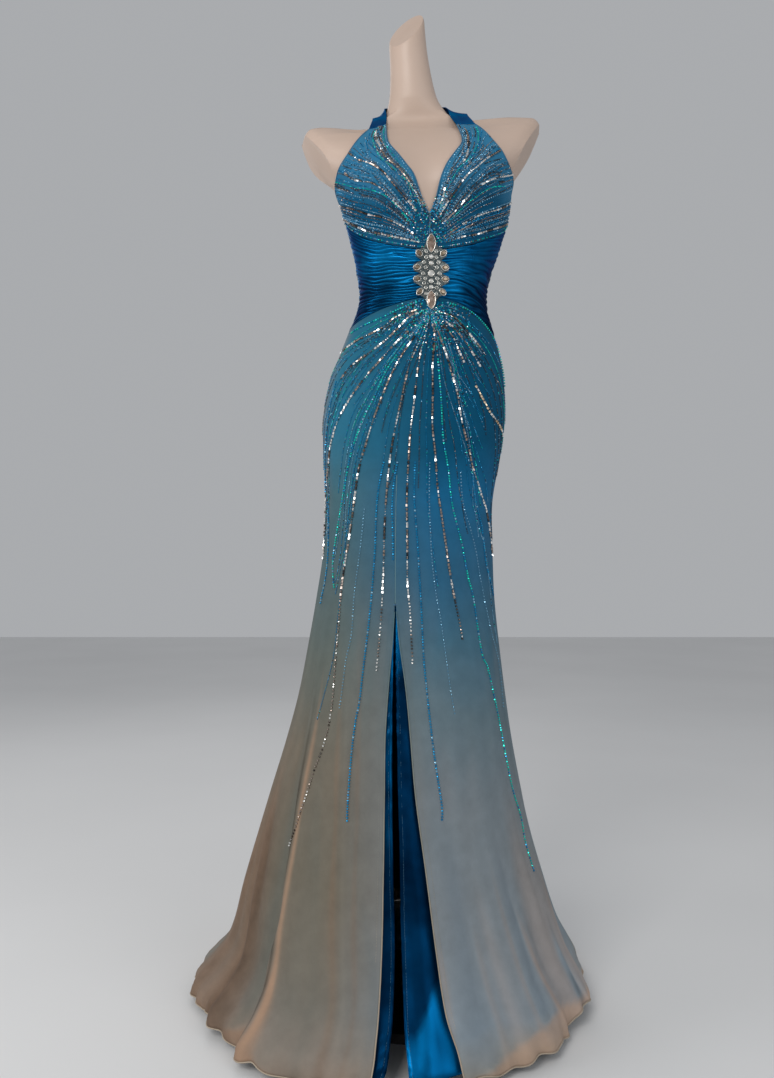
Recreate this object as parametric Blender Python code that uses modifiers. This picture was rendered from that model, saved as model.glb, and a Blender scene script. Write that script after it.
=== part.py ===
# Mermaid prom dress worn by a limbless dress form that stands on a pole and a round base.
# Units are metres. +Z is up, the front faces -Y, and +X is to the right seen from the front.
# One body shape carries every layer: the form, then the lining or midriff, then the overlay.
# An angle on the body is in degrees: 0 is the front, 90 is the +X side and 180 is the back.

import math

import bmesh
import bpy
from mathutils import Matrix
from mathutils import Vector
from mathutils.bvhtree import BVHTree

# Distances out from the body shape, and wall thicknesses.
FORM_GAP = 0.0019
LINING_WALL = 0.0011
LAYER_GAP = 0.0005
OVERLAY_WALL = 0.0012
CUP_GAP = 0.0027
CUP_WALL = 0.0015
STRAP_WALL = 0.0015
SEAM_GAP = 0.0004
STRAP_SEAM_GAP = 0.0006
LINING_FACE = FORM_GAP + LINING_WALL
OVERLAY_FACE = LINING_FACE + LAYER_GAP + OVERLAY_WALL
CUP_FACE = CUP_GAP + CUP_WALL
STRAP_FACE = FORM_GAP + STRAP_WALL

# Level slices of the body shape, from the hem to the top of the neck.
# Across and back place the middle of a slice, squareness 2 is an ellipse, and tilt is the rise
# of the slice for each metre across, because the right shoulder is the higher one.
SECTION_COLUMNS = ("height", "across", "back", "half_width", "front_depth", "back_depth", "squareness", "tilt")
SECTIONS = (
    (0.008, -0.0385, 0.050, 0.3400, 0.354, 0.374, 2.0, 0.0),
    (0.030, -0.0385, 0.049, 0.3370, 0.350, 0.370, 2.0, 0.0),
    (0.060, -0.0320, 0.046, 0.3150, 0.326, 0.342, 2.0, 0.0),
    (0.105, -0.0285, 0.043, 0.2870, 0.292, 0.305, 2.0, 0.0),
    (0.193, -0.0315, 0.038, 0.2605, 0.258, 0.268, 2.0, 0.0),
    (0.277, -0.0320, 0.033, 0.2365, 0.236, 0.242, 2.0, 0.0),
    (0.361, -0.0300, 0.029, 0.2155, 0.215, 0.220, 2.0, 0.0),
    (0.445, -0.0260, 0.023, 0.1945, 0.191, 0.197, 2.0, 0.0),
    (0.529, -0.0210, 0.019, 0.1770, 0.168, 0.174, 2.0, 0.0),
    (0.613, -0.0180, 0.016, 0.1635, 0.144, 0.151, 2.05, 0.0),
    (0.697, -0.0150, 0.012, 0.1515, 0.123, 0.132, 2.1, 0.0),
    (0.781, -0.0105, 0.008, 0.1435, 0.109, 0.119, 2.15, 0.0),
    (0.865, -0.0090, 0.006, 0.1415, 0.102, 0.116, 2.2, 0.0),
    (0.949, -0.0035, 0.006, 0.1505, 0.102, 0.124, 2.2, 0.0),
    (1.010, 0.0000, 0.006, 0.1540, 0.102, 0.127, 2.2, 0.0),
    (1.075, 0.0050, 0.004, 0.1470, 0.097, 0.117, 2.2, 0.0),
    (1.117, 0.0095, 0.002, 0.1355, 0.091, 0.104, 2.15, 0.0),
    (1.159, 0.0120, 0.000, 0.1215, 0.084, 0.090, 2.1, 0.0),
    (1.198, 0.0148, 0.000, 0.1090, 0.079, 0.081, 2.1, 0.0),
    (1.232, 0.0164, 0.000, 0.1075, 0.078, 0.079, 2.1, 0.0),
    (1.264, 0.0180, 0.000, 0.1135, 0.080, 0.081, 2.1, 0.0),
    (1.306, 0.0210, 0.001, 0.1245, 0.084, 0.084, 2.1, 0.0),
    (1.348, 0.0218, 0.002, 0.1365, 0.087, 0.086, 2.1, 0.0),
    (1.390, 0.0190, 0.003, 0.1460, 0.089, 0.087, 2.15, 0.005),
    (1.420, 0.0150, 0.005, 0.1570, 0.087, 0.085, 2.3, 0.020),
    (1.450, 0.0135, 0.008, 0.1900, 0.080, 0.079, 2.5, 0.040),
    (1.480, 0.0120, 0.011, 0.2330, 0.066, 0.068, 2.7, 0.050),
    (1.502, 0.0120, 0.013, 0.2550, 0.050, 0.054, 2.8, 0.050),
    (1.517, 0.0120, 0.014, 0.2520, 0.038, 0.043, 2.8, 0.050),
    (1.5245, 0.0120, 0.015, 0.2250, 0.032, 0.038, 2.7, 0.050),
    (1.528, 0.0115, 0.015, 0.1700, 0.031, 0.036, 2.5, 0.050),
    (1.531, 0.0105, 0.014, 0.1120, 0.032, 0.036, 2.3, 0.048),
    (1.536, 0.0085, 0.013, 0.0780, 0.034, 0.037, 2.1, 0.042),
    (1.543, 0.0055, 0.011, 0.0610, 0.036, 0.038, 2.0, 0.030),
    (1.555, 0.0015, 0.008, 0.0490, 0.037, 0.038, 2.0, 0.012),
    (1.575, -0.0018, 0.004, 0.0408, 0.036, 0.037, 2.0, 0.0),
    (1.621, -0.0070, -0.002, 0.0345, 0.034, 0.034, 2.0, 0.0),
    (1.663, -0.0114, -0.007, 0.0322, 0.032, 0.032, 2.0, 0.0),
    (1.735, -0.0165, -0.014, 0.0310, 0.030, 0.030, 2.0, 0.0),
)

# The bust is a soft rise on each side of the front, fuller above than below.
BUST = {"height": 1.398, "apart": 0.072, "rise": 0.026, "across": 0.040, "above": 0.046, "below": 0.030}

# Heights of the seams round the body.
SEAM_COLUMNS = ("angle", "skirt_top", "bust_seam", "back_top")
SEAMS = (
    (-180.0, 1.118, 1.350, 1.285),
    (-135.0, 1.134, 1.350, 1.325),
    (-110.0, 1.147, 1.350, 1.372),
    (-90.0, 1.156, 1.350, 1.400),
    (-60.0, 1.170, 1.316, 1.400),
    (-27.0, 1.189, 1.291, 1.400),
    (3.0, 1.202, 1.281, 1.400),
    (30.0, 1.194, 1.291, 1.400),
    (52.0, 1.173, 1.308, 1.400),
    (75.0, 1.139, 1.328, 1.400),
    (90.0, 1.130, 1.346, 1.400),
    (110.0, 1.126, 1.350, 1.376),
    (135.0, 1.121, 1.350, 1.328),
    (180.0, 1.118, 1.350, 1.285),
)
SIDE_ANGLE = 95.0
SEAM_TURN = 0.18

# The slit, and the centre front seam above it, as places across at each height.
SLIT_TOP = 0.70
SLIT_COLUMNS = ("height", "overlay_left", "overlay_right", "lining_left", "lining_right")
SLIT = (
    (0.010, -0.0730, 0.0640, -0.0550, -0.0130),
    (0.048, -0.0660, 0.0530, -0.0460, -0.0175),
    (0.090, -0.0600, 0.0395, -0.0390, -0.0215),
    (0.168, -0.0550, 0.0270, -0.0360, -0.0235),
    (0.283, -0.0525, 0.0120, -0.0380, -0.0260),
    (0.391, -0.0510, -0.0030, -0.0393, -0.0300),
    (0.485, -0.0495, -0.0110, -0.0390, -0.0320),
    (0.565, -0.0440, -0.0185, -0.0376, -0.0334),
    (0.631, -0.0380, -0.0270, -0.0360, -0.0350),
    (0.700, -0.0335, -0.0335, -0.0335, -0.0335),
)
CENTRE_SEAM_COLUMNS = ("height", "across")
CENTRE_SEAM = (
    (0.700, -0.0335),
    (0.880, -0.0316),
    (1.000, -0.0240),
    (1.100, -0.0080),
    (1.210, 0.0130),
)

# Long folds of the skirt. Each wanders from its top angle to its hem angle.
# Depth is at the hem, a ridge is positive and a trough negative, and width is in degrees.
FOLD_COLUMNS = ("hem_angle", "top_angle", "top_height", "depth", "width")
FOLDS = (
    (-82.0, -88.0, 0.50, 0.006, 7.0),
    (-65.0, -80.0, 0.55, -0.009, 5.0),
    (-29.0, -40.0, 0.45, 0.006, 7.0),
    (-16.0, -22.0, 0.35, -0.005, 5.0),
    (31.0, 26.0, 0.40, -0.005, 6.0),
    (43.0, 38.0, 0.45, 0.007, 6.0),
    (57.0, 54.0, 0.35, -0.010, 5.0),
    (70.0, 68.0, 0.45, 0.006, 6.0),
    (84.0, 84.0, 0.45, -0.007, 5.0),
    (103.0, 100.0, 0.60, 0.009, 7.0),
    (119.0, 114.0, 0.55, -0.012, 6.0),
    (134.0, 130.0, 0.65, 0.011, 7.0),
    (151.0, 147.0, 0.60, -0.011, 6.0),
    (167.0, 165.0, 0.65, 0.010, 7.0),
    (184.0, 182.0, 0.60, -0.010, 6.0),
    (201.0, 200.0, 0.65, 0.012, 7.0),
    (218.0, 219.0, 0.60, -0.011, 6.0),
    (234.0, 237.0, 0.65, 0.010, 7.0),
    (250.0, 253.0, 0.55, -0.009, 6.0),
)
# One deep fold on the left, where the front lies out over the side.
STEP = {"hem_angle": -46.0, "top_angle": -88.0, "top_height": 0.70, "depth": 0.007, "width": 2.6, "reach": 16.0}
HEM_HEIGHT = 0.010
HEM_WAVES = 26
HEM_WAVE_DEPTH = 0.004
HEM_WAVE_REACH = 0.055

# The lining hangs free inside the overlay below the slit top, and its hem is shorter at the sides.
LINING_DROP = 0.012
LINING_FOLD_SHARE = 0.5
LINING_HEM_AT_SLIT = 0.014
LINING_HEM_AT_SIDE = 0.050
LINING_SLIT_ANGLE = -3.0
LINING_FLAT_TURN = 8.0
LINING_HEM_TURN = 36.0

# Rows of the skirt from the hem up. Above the slit top the rows close up to the seam.
OVERLAY_ROWS = (0.035, 0.065, 0.10, 0.15, 0.21, 0.28, 0.36, 0.45, 0.54, 0.62)
LINING_ROWS = (0.09, 0.16, 0.26, 0.38, 0.51, 0.62)
UPPER_ROWS = (0.70, 0.78, 0.86, 0.94, 1.01)
CLOSING_ROWS = 3
FRONT_STEPS = 10
BACK_STEPS = 10

# The midriff is gathered into level folds that draw together at the brooch.
FRONT_GATHERS = 22
BACK_GATHERS = 14
GATHER_HIGH = 0.0045
GATHER_LOW = 0.0031
GATHER_EDGE = 0.0038
MIDRIFF_GAP = 0.0019
BACK_MIDRIFF_STEPS = 16
MIDRIFF_LINING_ROWS = 8

# Outlines of the cups, seen from the front: places across and heights.
LEFT_NECKLINE = (
    (0.0150, 1.352),
    (0.0050, 1.377),
    (-0.0052, 1.401),
    (-0.0190, 1.419),
    (-0.0389, 1.448),
    (-0.0466, 1.468),
    (-0.0490, 1.506),
)
LEFT_ARMHOLE = (
    (-0.1280, 1.425),
    (-0.1087, 1.449),
    (-0.0782, 1.495),
)
RIGHT_NECKLINE = (
    (0.0329, 1.361),
    (0.0415, 1.392),
    (0.0521, 1.416),
    (0.0669, 1.439),
    (0.0780, 1.462),
    (0.0720, 1.503),
)
RIGHT_ARMHOLE = (
    (0.1560, 1.436),
    (0.1448, 1.451),
    (0.1285, 1.470),
    (0.1040, 1.504),
)
NECKLINE_BOTTOM = 1.338
CENTRE_ACROSS = 0.0237
CUP_COLUMNS = 10
CUP_ROWS = 11
SIDE_CUP_TOP = 1.388
UNDERARM_LEFT = 1.404
UNDERARM_RIGHT = 1.410
UNDERARM_ANGLE = 88.0

# The halter strap runs from cup to cup behind the neck, between these two edges.
STRAP_COLUMNS = ("angle", "upper", "lower")
STRAP_LEFT = (
    (-66.0, 1.5475, 1.5345),
    (-90.0, 1.5555, 1.5370),
    (-125.0, 1.5670, 1.5430),
)
STRAP_NAPE = (180.0, 1.577, 1.551)
STRAP_ROWS_EACH_SIDE = 9
STRAP_ACROSS = 2

# Rows of the fine body mesh that the cups and the strap are laid on.
BODY_TREE_RANGE = (1.15, 1.62)
BODY_TREE_STEP = 0.004
SHOULDER_LOW = 1.48
SHOULDER_STEP = 0.0015

# The dress form above the hips, and the flat cuts at its neck and arms.
FORM_BOTTOM = 0.80
FORM_FRONT_COLUMNS = 28
FORM_BACK_COLUMNS = 16
FORM_COLUMNS = FORM_FRONT_COLUMNS + FORM_BACK_COLUMNS
FORM_ROWS = (
    0.84, 0.89, 0.94, 0.985, 1.03, 1.075, 1.112, 1.145, 1.175, 1.205, 1.235, 1.265, 1.295, 1.325,
    1.355, 1.380, 1.400, 1.415, 1.430, 1.450, 1.470, 1.488, 1.503, 1.515, 1.522, 1.5265, 1.5305,
    1.536, 1.543, 1.554, 1.570, 1.60, 1.65, 1.735,
)
CUT_COLUMNS = ("name", "point", "normal", "up", "below", "above")
FORM_CUTS = (
    ("arm_cut_left", (-0.133, 0.0, 1.407), (-0.855, -0.20, -0.478), (-0.488, 0.0, 0.873), 0.001, 0.30),
    ("arm_cut_right", (0.165, 0.0, 1.428), (0.885, -0.12, -0.450), (0.453, 0.0, 0.891), 0.001, 0.30),
    ("neck_cut", (-0.0420, 0.0, 1.6715), (-0.482, -0.658, 0.576), (0.70, 0.10, 0.70), 0.06, 0.12),
)
CUT_REACH = 0.15

# The stand below the form.
BASE_RADIUS = 0.160
BASE_THICKNESS = 0.014
BASE_BEVEL = 0.004
POLE_RADIUS = 0.011
FLANGE_RADIUS = 0.045
FLANGE_THICKNESS = 0.008
SOCKET_RADIUS = 0.024
SOCKET_HEIGHT = 0.050
SOCKET_SLOPE = 0.004
PART_GAP = 0.0003

# The brooch: a lobed plate with set stones, sizes in millimetres from its middle.
MM = 0.001
BROOCH_ACROSS = 0.0258
BROOCH_HEIGHT = 1.243
PLATE_FACE = 0.0065
PLATE_WALL = 0.0011
STONE_SEAT = 0.0068
PLATE_COLUMNS = ("up", "half_width")
PLATE = (
    (-63.0, 1.6),
    (-56.0, 7.0),
    (-47.0, 8.8),
    (-41.0, 13.0),
    (-36.5, 23.5),
    (-29.0, 23.5),
    (-24.0, 15.5),
    (-16.0, 28.0),
    (-6.0, 28.0),
    (-1.5, 17.0),
    (3.5, 28.0),
    (13.5, 28.0),
    (20.5, 15.5),
    (27.0, 25.0),
    (36.0, 25.0),
    (41.0, 12.0),
    (48.0, 8.6),
    (56.0, 6.6),
    (62.5, 1.6),
)
PLATE_ACROSS = 4
# The lift clears the hollow of the waist under a long stone.
NAVETTE_COLUMNS = ("name", "across", "up", "length", "width", "turn", "lift")
NAVETTES = (
    ("stone_top", 0.0, 47.3, 29.0, 13.6, 0.0, 0.0),
    ("stone_bottom", 0.0, -46.6, 30.5, 13.6, 0.0, 0.45),
    ("stone_side_1", -19.5, 31.5, 12.4, 8.6, -45.0, 0.0),
    ("stone_side_2", 19.5, 31.5, 12.4, 8.6, 45.0, 0.0),
    ("stone_side_3", -22.5, 8.5, 12.0, 8.6, 90.0, 0.0),
    ("stone_side_4", 22.5, 8.5, 12.0, 8.6, 90.0, 0.0),
    ("stone_side_5", -22.5, -11.0, 12.0, 8.6, 90.0, 0.0),
    ("stone_side_6", 22.5, -11.0, 12.0, 8.6, 90.0, 0.0),
    ("stone_side_7", -18.3, -33.0, 12.4, 8.6, 45.0, 0.0),
    ("stone_side_8", 18.3, -33.0, 12.4, 8.6, -45.0, 0.0),
)
ROUND_COLUMNS = ("across", "up", "radius")
ROUND_MIDDLE = (
    (0.0, 25.6, 3.1),
    (0.0, 15.0, 3.1),
    (0.0, -1.8, 4.8),
    (0.0, -14.5, 3.1),
    (0.0, -25.2, 3.0),
)
ROUND_PAIRS = (
    (8.2, 34.3, 2.4),
    (8.2, 24.6, 2.4),
    (11.7, 16.4, 2.5),
    (8.8, 8.2, 2.5),
    (13.2, -1.8, 2.5),
    (9.6, -10.6, 2.4),
    (11.6, -18.4, 2.4),
    (8.6, -26.0, 2.3),
    (8.0, -36.4, 2.2),
)
STONE_DEPTH = 0.0034
ROUND_DEPTH = 0.0026
STONE_TABLE = 0.28
NAVETTE_PINCH = 0.45


# Small tools

def rows_by_name(columns, rows):
    return [dict(zip(columns, row)) for row in rows]


def smooth_value(rows, key, name, place):
    # Smooth curve through a column of a table, flat past its ends.
    if place <= rows[0][key]:
        return rows[0][name]
    if place >= rows[-1][key]:
        return rows[-1][name]
    index = 0
    while rows[index + 1][key] < place:
        index += 1
    low, high = rows[index], rows[index + 1]
    before = rows[max(index - 1, 0)]
    after = rows[min(index + 2, len(rows) - 1)]
    span = high[key] - low[key]
    share = (place - low[key]) / span
    slope_low = (high[name] - before[name]) / (high[key] - before[key]) * span
    slope_high = (after[name] - low[name]) / (after[key] - low[key]) * span
    square = share * share
    cube = square * share
    return (
        (2.0 * cube - 3.0 * square + 1.0) * low[name]
        + (cube - 2.0 * square + share) * slope_low
        + (3.0 * square - 2.0 * cube) * high[name]
        + (cube - square) * slope_high
    )


def round_power(value, power):
    return math.copysign(abs(value) ** power, value)


def blend(low, high, share):
    return low + (high - low) * share


def smooth_step(value):
    value = min(max(value, 0.0), 1.0)
    return value * value * (3.0 - 2.0 * value)


def wrapped(angle):
    return (angle + 180.0) % 360.0 - 180.0


SECTION_ROWS = rows_by_name(SECTION_COLUMNS, SECTIONS)
SEAM_ROWS = rows_by_name(SEAM_COLUMNS, SEAMS)
SLIT_ROWS = rows_by_name(SLIT_COLUMNS, SLIT)
CENTRE_SEAM_ROWS = rows_by_name(CENTRE_SEAM_COLUMNS, CENTRE_SEAM)
FOLD_ROWS = rows_by_name(FOLD_COLUMNS, FOLDS)


# Body shape and folds

def section_at(height):
    return {name: smooth_value(SECTION_ROWS, "height", name, height) for name in SECTION_COLUMNS[1:]}


def bust_rise(across, height, section):
    spread = BUST["above"] if height > BUST["height"] else BUST["below"]
    level = math.exp(-0.5 * ((height - BUST["height"]) / spread) ** 2)
    rise = 0.0
    for side in (-1.0, 1.0):
        offset = across - section["across"] - side * BUST["apart"]
        rise += math.exp(-0.5 * (offset / BUST["across"]) ** 2)
    return BUST["rise"] * level * rise


def fold_amount(angle, height):
    # Radial depth of the long folds, the deep side fold and the waves of the hem.
    total = 0.0
    for fold in FOLD_ROWS:
        if height >= fold["top_height"]:
            continue
        fall = (fold["top_height"] - height) / (fold["top_height"] - HEM_HEIGHT)
        middle = blend(fold["top_angle"], fold["hem_angle"], fall)
        away = wrapped(angle - middle) / fold["width"]
        total += fold["depth"] * smooth_step(fall) * math.exp(-away * away)
    if height < STEP["top_height"]:
        fall = (STEP["top_height"] - height) / (STEP["top_height"] - HEM_HEIGHT)
        middle = blend(STEP["top_angle"], STEP["hem_angle"], fall ** 1.15)
        away = wrapped(angle - middle)
        side = math.tanh(away / STEP["width"])
        total += STEP["depth"] * fall ** 0.8 * side * math.exp(-(away / STEP["reach"]) ** 2)
    if height < HEM_WAVE_REACH:
        share = 1.0 - height / HEM_WAVE_REACH
        total += HEM_WAVE_DEPTH * share * math.sin(math.radians(angle) * HEM_WAVES)
    return total


def bare_point(angle, height, fold_share):
    section = section_at(height)
    turn = math.radians(angle)
    power = 2.0 / section["squareness"]
    depth = section["front_depth"] if math.cos(turn) > 0.0 else section["back_depth"]
    across = section["half_width"] * round_power(math.sin(turn), power)
    toward = -depth * round_power(math.cos(turn), power)
    if fold_share:
        grow = 1.0 + fold_share * fold_amount(angle, height) / math.hypot(across, toward)
        across *= grow
        toward *= grow
    if math.cos(turn) > 0.0:
        toward -= bust_rise(section["across"] + across, height, section) * math.cos(turn) ** 0.5
    return Vector((section["across"] + across, section["back"] + toward, height + section["tilt"] * across))


def outward_at(angle, height, fold_share):
    turn_step = 0.4
    height_step = 0.0008
    along = bare_point(angle + turn_step, height, fold_share) - bare_point(angle - turn_step, height, fold_share)
    upward = bare_point(angle, height + height_step, fold_share)
    upward = upward - bare_point(angle, height - height_step, fold_share)
    return along.cross(upward).normalized()


def surface_point(angle, height, out, fold_share=0.0):
    return bare_point(angle, height, fold_share) + outward_at(angle, height, fold_share) * out


def angle_at(across, height):
    # Angle on the front at a place across.
    section = section_at(height)
    share = (across - section["across"]) / section["half_width"]
    share = min(max(share, -1.0), 1.0)
    return math.degrees(math.asin(round_power(share, section["squareness"] / 2.0)))


def seam_height(name, angle):
    return smooth_value(SEAM_ROWS, "angle", name, wrapped(angle))


# Meshes

def make_material(name, colour, roughness, metallic):
    material = bpy.data.materials.new(name)
    material.use_nodes = True
    shader = material.node_tree.nodes["Principled BSDF"]
    shader.inputs["Base Color"].default_value = (*colour, 1.0)
    shader.inputs["Roughness"].default_value = roughness
    shader.inputs["Metallic"].default_value = metallic
    return material


def add_object(name, mesh, material, smooth=True):
    mesh.materials.append(material)
    part = bpy.data.objects.new(name, mesh)
    dress_parts.objects.link(part)
    if smooth:
        mesh.shade_smooth()
        mesh.set_sharp_from_angle(angle=math.radians(40.0))
    return part


def faces_between(low, high, low_count, high_count):
    # Faces from one row of points to the next. A row may have twice the points of the row above.
    faces = []
    if low_count == high_count:
        for step in range(low_count - 1):
            faces.append((low + step, low + step + 1, high + step + 1, high + step))
    else:
        for step in range(high_count - 1):
            start = low + 2 * step
            faces.append((start, start + 1, start + 2, high + step + 1, high + step))
    return faces


def sheet_mesh(name, rows):
    # Open surface through rows of points, from the bottom up and from left to right.
    points = [point for row in rows for point in row]
    faces = []
    start = 0
    for low, high in zip(rows, rows[1:]):
        faces += faces_between(start, start + len(low), len(low), len(high))
        start += len(low)
    mesh = bpy.data.meshes.new(name)
    mesh.from_pydata([tuple(point) for point in points], [], faces)
    mesh.update()
    return mesh


def cloth_wall(name, rows, wall, material):
    # Cloth with its outer face on the rows, thickened inwards.
    part = add_object(name, sheet_mesh(name, rows), material)
    solidify = part.modifiers.new("Wall", "SOLIDIFY")
    solidify.thickness = wall
    solidify.offset = -1.0
    return part


def closed_wall(name, outer_rows, inner_rows, material):
    # A wall whose outer face has more rows than its plain inner face.
    points = []
    faces = []
    for rows in (outer_rows, inner_rows):
        base = len(points)
        count = len(rows[0])
        for row_index in range(len(rows) - 1):
            low = base + row_index * count
            for face in faces_between(low, low + count, count, count):
                faces.append(face if rows is outer_rows else tuple(reversed(face)))
        points += [point for row in rows for point in row]
    count = len(outer_rows[0])
    inner = len(outer_rows) * count
    outer_top = inner - count
    inner_top = inner + (len(inner_rows) - 1) * count
    for step in range(count - 1):
        faces.append((step + 1, step, inner + step, inner + step + 1))
        faces.append((outer_top + step, outer_top + step + 1, inner_top + step + 1, inner_top + step))
    outer_range = range(len(outer_rows))
    inner_range = range(len(inner_rows))
    left = [index * count for index in outer_range] + [inner + index * count for index in reversed(inner_range)]
    right = [index * count + count - 1 for index in reversed(outer_range)]
    right += [inner + index * count + count - 1 for index in inner_range]
    faces.append(tuple(left))
    faces.append(tuple(right))
    mesh = bpy.data.meshes.new(name)
    mesh.from_pydata([tuple(point) for point in points], [], faces)
    mesh.update()
    return add_object(name, mesh, material)


# Skirt

def front_edges(side, layer):
    # Angles of a front panel's edges at a height: its side seam and its slit or centre seam.
    sign = -1.0 if side == "left" else 1.0

    def edges(height):
        if height < SLIT_TOP:
            across = smooth_value(SLIT_ROWS, "height", layer + "_" + side, height)
        else:
            across = smooth_value(CENTRE_SEAM_ROWS, "height", "across", height)
        gap = math.degrees(SEAM_GAP / 2.0 / section_at(height)["half_width"])
        inner = angle_at(across, height) + sign * gap
        outer = sign * (SIDE_ANGLE - gap)
        return (outer, inner) if side == "left" else (inner, outer)

    return edges


def back_edges(start, end):
    def edges(height):
        gap = math.degrees(SEAM_GAP / 2.0 / section_at(height)["half_width"])
        return start + gap, end - gap

    return edges


def skirt_row(edges, height_at, guide_height, steps, out_at, fold_share):
    start, end = edges(guide_height)
    row = []
    for step in range(steps + 1):
        angle = blend(start, end, step / steps)
        height = height_at(angle)
        row.append(surface_point(angle, height, out_at(height), fold_share))
    return row


def upper_skirt_rows(edges, steps, out_at, fold_share):
    rows = []
    for level in UPPER_ROWS:
        rows.append(skirt_row(edges, lambda angle, level=level: level, level, steps, out_at, fold_share))
    start = UPPER_ROWS[-1]
    for index in range(1, CLOSING_ROWS + 1):
        share = index / CLOSING_ROWS

        def height_at(angle, share=share):
            return blend(start, seam_height("skirt_top", angle) - SEAM_GAP, share)

        rows.append(skirt_row(edges, height_at, height_at(0.0), steps, out_at, fold_share))
    return rows


def overlay_out(height):
    return OVERLAY_FACE


def lining_out(height):
    fall = max(0.0, (SLIT_TOP - height) / SLIT_TOP)
    return LINING_FACE - LINING_DROP * fall


def lining_hem(angle):
    away = abs(angle - LINING_SLIT_ANGLE)
    turned = smooth_step((away - LINING_FLAT_TURN) / LINING_HEM_TURN)
    return blend(LINING_HEM_AT_SLIT, LINING_HEM_AT_SIDE, turned)


def overlay_panel(name, edges, steps, material):
    rows = [skirt_row(edges, lambda angle: HEM_HEIGHT, HEM_HEIGHT, 2 * steps, overlay_out, 1.0)]
    for level in OVERLAY_ROWS:
        rows.append(skirt_row(edges, lambda angle, level=level: level, level, 2 * steps, overlay_out, 1.0))
    rows += upper_skirt_rows(edges, steps, overlay_out, 1.0)
    return cloth_wall(name, rows, OVERLAY_WALL, material)


def lining_panel(name, edges, steps, material):
    rows = [skirt_row(edges, lining_hem, LINING_HEM_AT_SLIT, steps, lining_out, LINING_FOLD_SHARE)]
    for level in LINING_ROWS:
        rows.append(skirt_row(edges, lambda angle, level=level: level, level, steps, lining_out, LINING_FOLD_SHARE))
    rows += upper_skirt_rows(edges, steps, lining_out, LINING_FOLD_SHARE)
    return cloth_wall(name, rows, LINING_WALL, material)


def build_skirt(chiffon, satin):
    left_side = 360.0 - SIDE_ANGLE
    overlay_panel("skirt_front_left", front_edges("left", "overlay"), FRONT_STEPS, chiffon)
    overlay_panel("skirt_front_right", front_edges("right", "overlay"), FRONT_STEPS, chiffon)
    overlay_panel("skirt_back_right", back_edges(SIDE_ANGLE, 180.0), BACK_STEPS, chiffon)
    overlay_panel("skirt_back_left", back_edges(180.0, left_side), BACK_STEPS, chiffon)
    lining_panel("lining_front_left", front_edges("left", "lining"), FRONT_STEPS, satin)
    lining_panel("lining_front_right", front_edges("right", "lining"), FRONT_STEPS, satin)
    lining_panel("lining_back", back_edges(SIDE_ANGLE, left_side), 2 * BACK_STEPS, satin)


# Midriff

def centre_angle():
    return angle_at(CENTRE_ACROSS, seam_height("bust_seam", 0.0))


def front_angles():
    # From the left side seam to the right one, with the same steps as the cups above.
    side = SIDE_ANGLE - SEAM_TURN
    centre = centre_angle()
    left = [blend(-side, centre, step / CUP_COLUMNS) for step in range(CUP_COLUMNS)]
    right = [blend(centre, side, step / CUP_COLUMNS) for step in range(CUP_COLUMNS + 1)]
    return left + right


def back_angles():
    start = SIDE_ANGLE + SEAM_TURN
    return [blend(start, 360.0 - start, step / BACK_MIDRIFF_STEPS) for step in range(BACK_MIDRIFF_STEPS + 1)]


def midriff_wall(name, angles, top_name, gathers, material):
    gap = SEAM_GAP / 2.0

    def row_at(share, out):
        row = []
        for angle in angles:
            low = seam_height("skirt_top", angle) + gap
            high = seam_height(top_name, angle) - gap
            row.append(surface_point(angle, blend(low, high, share), out))
        return row

    outer_rows = []
    last = 2 * gathers
    for index in range(last + 1):
        out = GATHER_HIGH if index % 2 else GATHER_LOW
        if index in (0, last):
            out = GATHER_EDGE
        outer_rows.append(row_at(index / last, out))
    inner_rows = [row_at(index / MIDRIFF_LINING_ROWS, MIDRIFF_GAP) for index in range(MIDRIFF_LINING_ROWS + 1)]
    return closed_wall(name, outer_rows, inner_rows, material)


def build_midriff(satin):
    midriff_wall("midriff_front", front_angles(), "bust_seam", FRONT_GATHERS, satin)
    midriff_wall("midriff_back", back_angles(), "back_top", BACK_GATHERS, satin)


# Cups and strap

def body_tree():
    # Fine mesh of the bare body shape, to lay pieces on, with closer rows over the shoulders.
    columns = 180
    rows = []
    height = BODY_TREE_RANGE[0]
    while height < BODY_TREE_RANGE[1]:
        rows.append([bare_point(360.0 * step / columns, height, 0.0) for step in range(columns)])
        height += BODY_TREE_STEP if height < SHOULDER_LOW else SHOULDER_STEP
    points = [point for row in rows for point in row]
    faces = []
    for low in range(len(rows) - 1):
        for step in range(columns):
            side = (step + 1) % columns
            base = low * columns
            faces.append((base + step, base + side, base + columns + side, base + columns + step))
    return BVHTree.FromPolygons(points, faces)


def front_point(tree, across, height):
    return tree.ray_cast(Vector((across, -1.0, height)), Vector((0.0, 1.0, 0.0)))[0]


def laid_point(tree, point, out):
    place, outward = tree.find_nearest(point)[:2]
    return place + outward * out


def smooth_path(controls, count):
    # Evenly spaced points along a smooth curve through the controls.
    fine_steps = 16
    dense = []
    for index in range(len(controls) - 1):
        before = controls[max(index - 1, 0)]
        low = controls[index]
        high = controls[index + 1]
        after = controls[min(index + 2, len(controls) - 1)]
        for step in range(fine_steps):
            share = step / fine_steps
            slope_low = (high - before) * 0.5
            slope_high = (after - low) * 0.5
            square = share * share
            cube = square * share
            dense.append(
                low * (2.0 * cube - 3.0 * square + 1.0)
                + slope_low * (cube - 2.0 * square + share)
                + high * (3.0 * square - 2.0 * cube)
                + slope_high * (cube - square)
            )
    dense.append(controls[-1])
    return even_path(dense, count)


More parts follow.
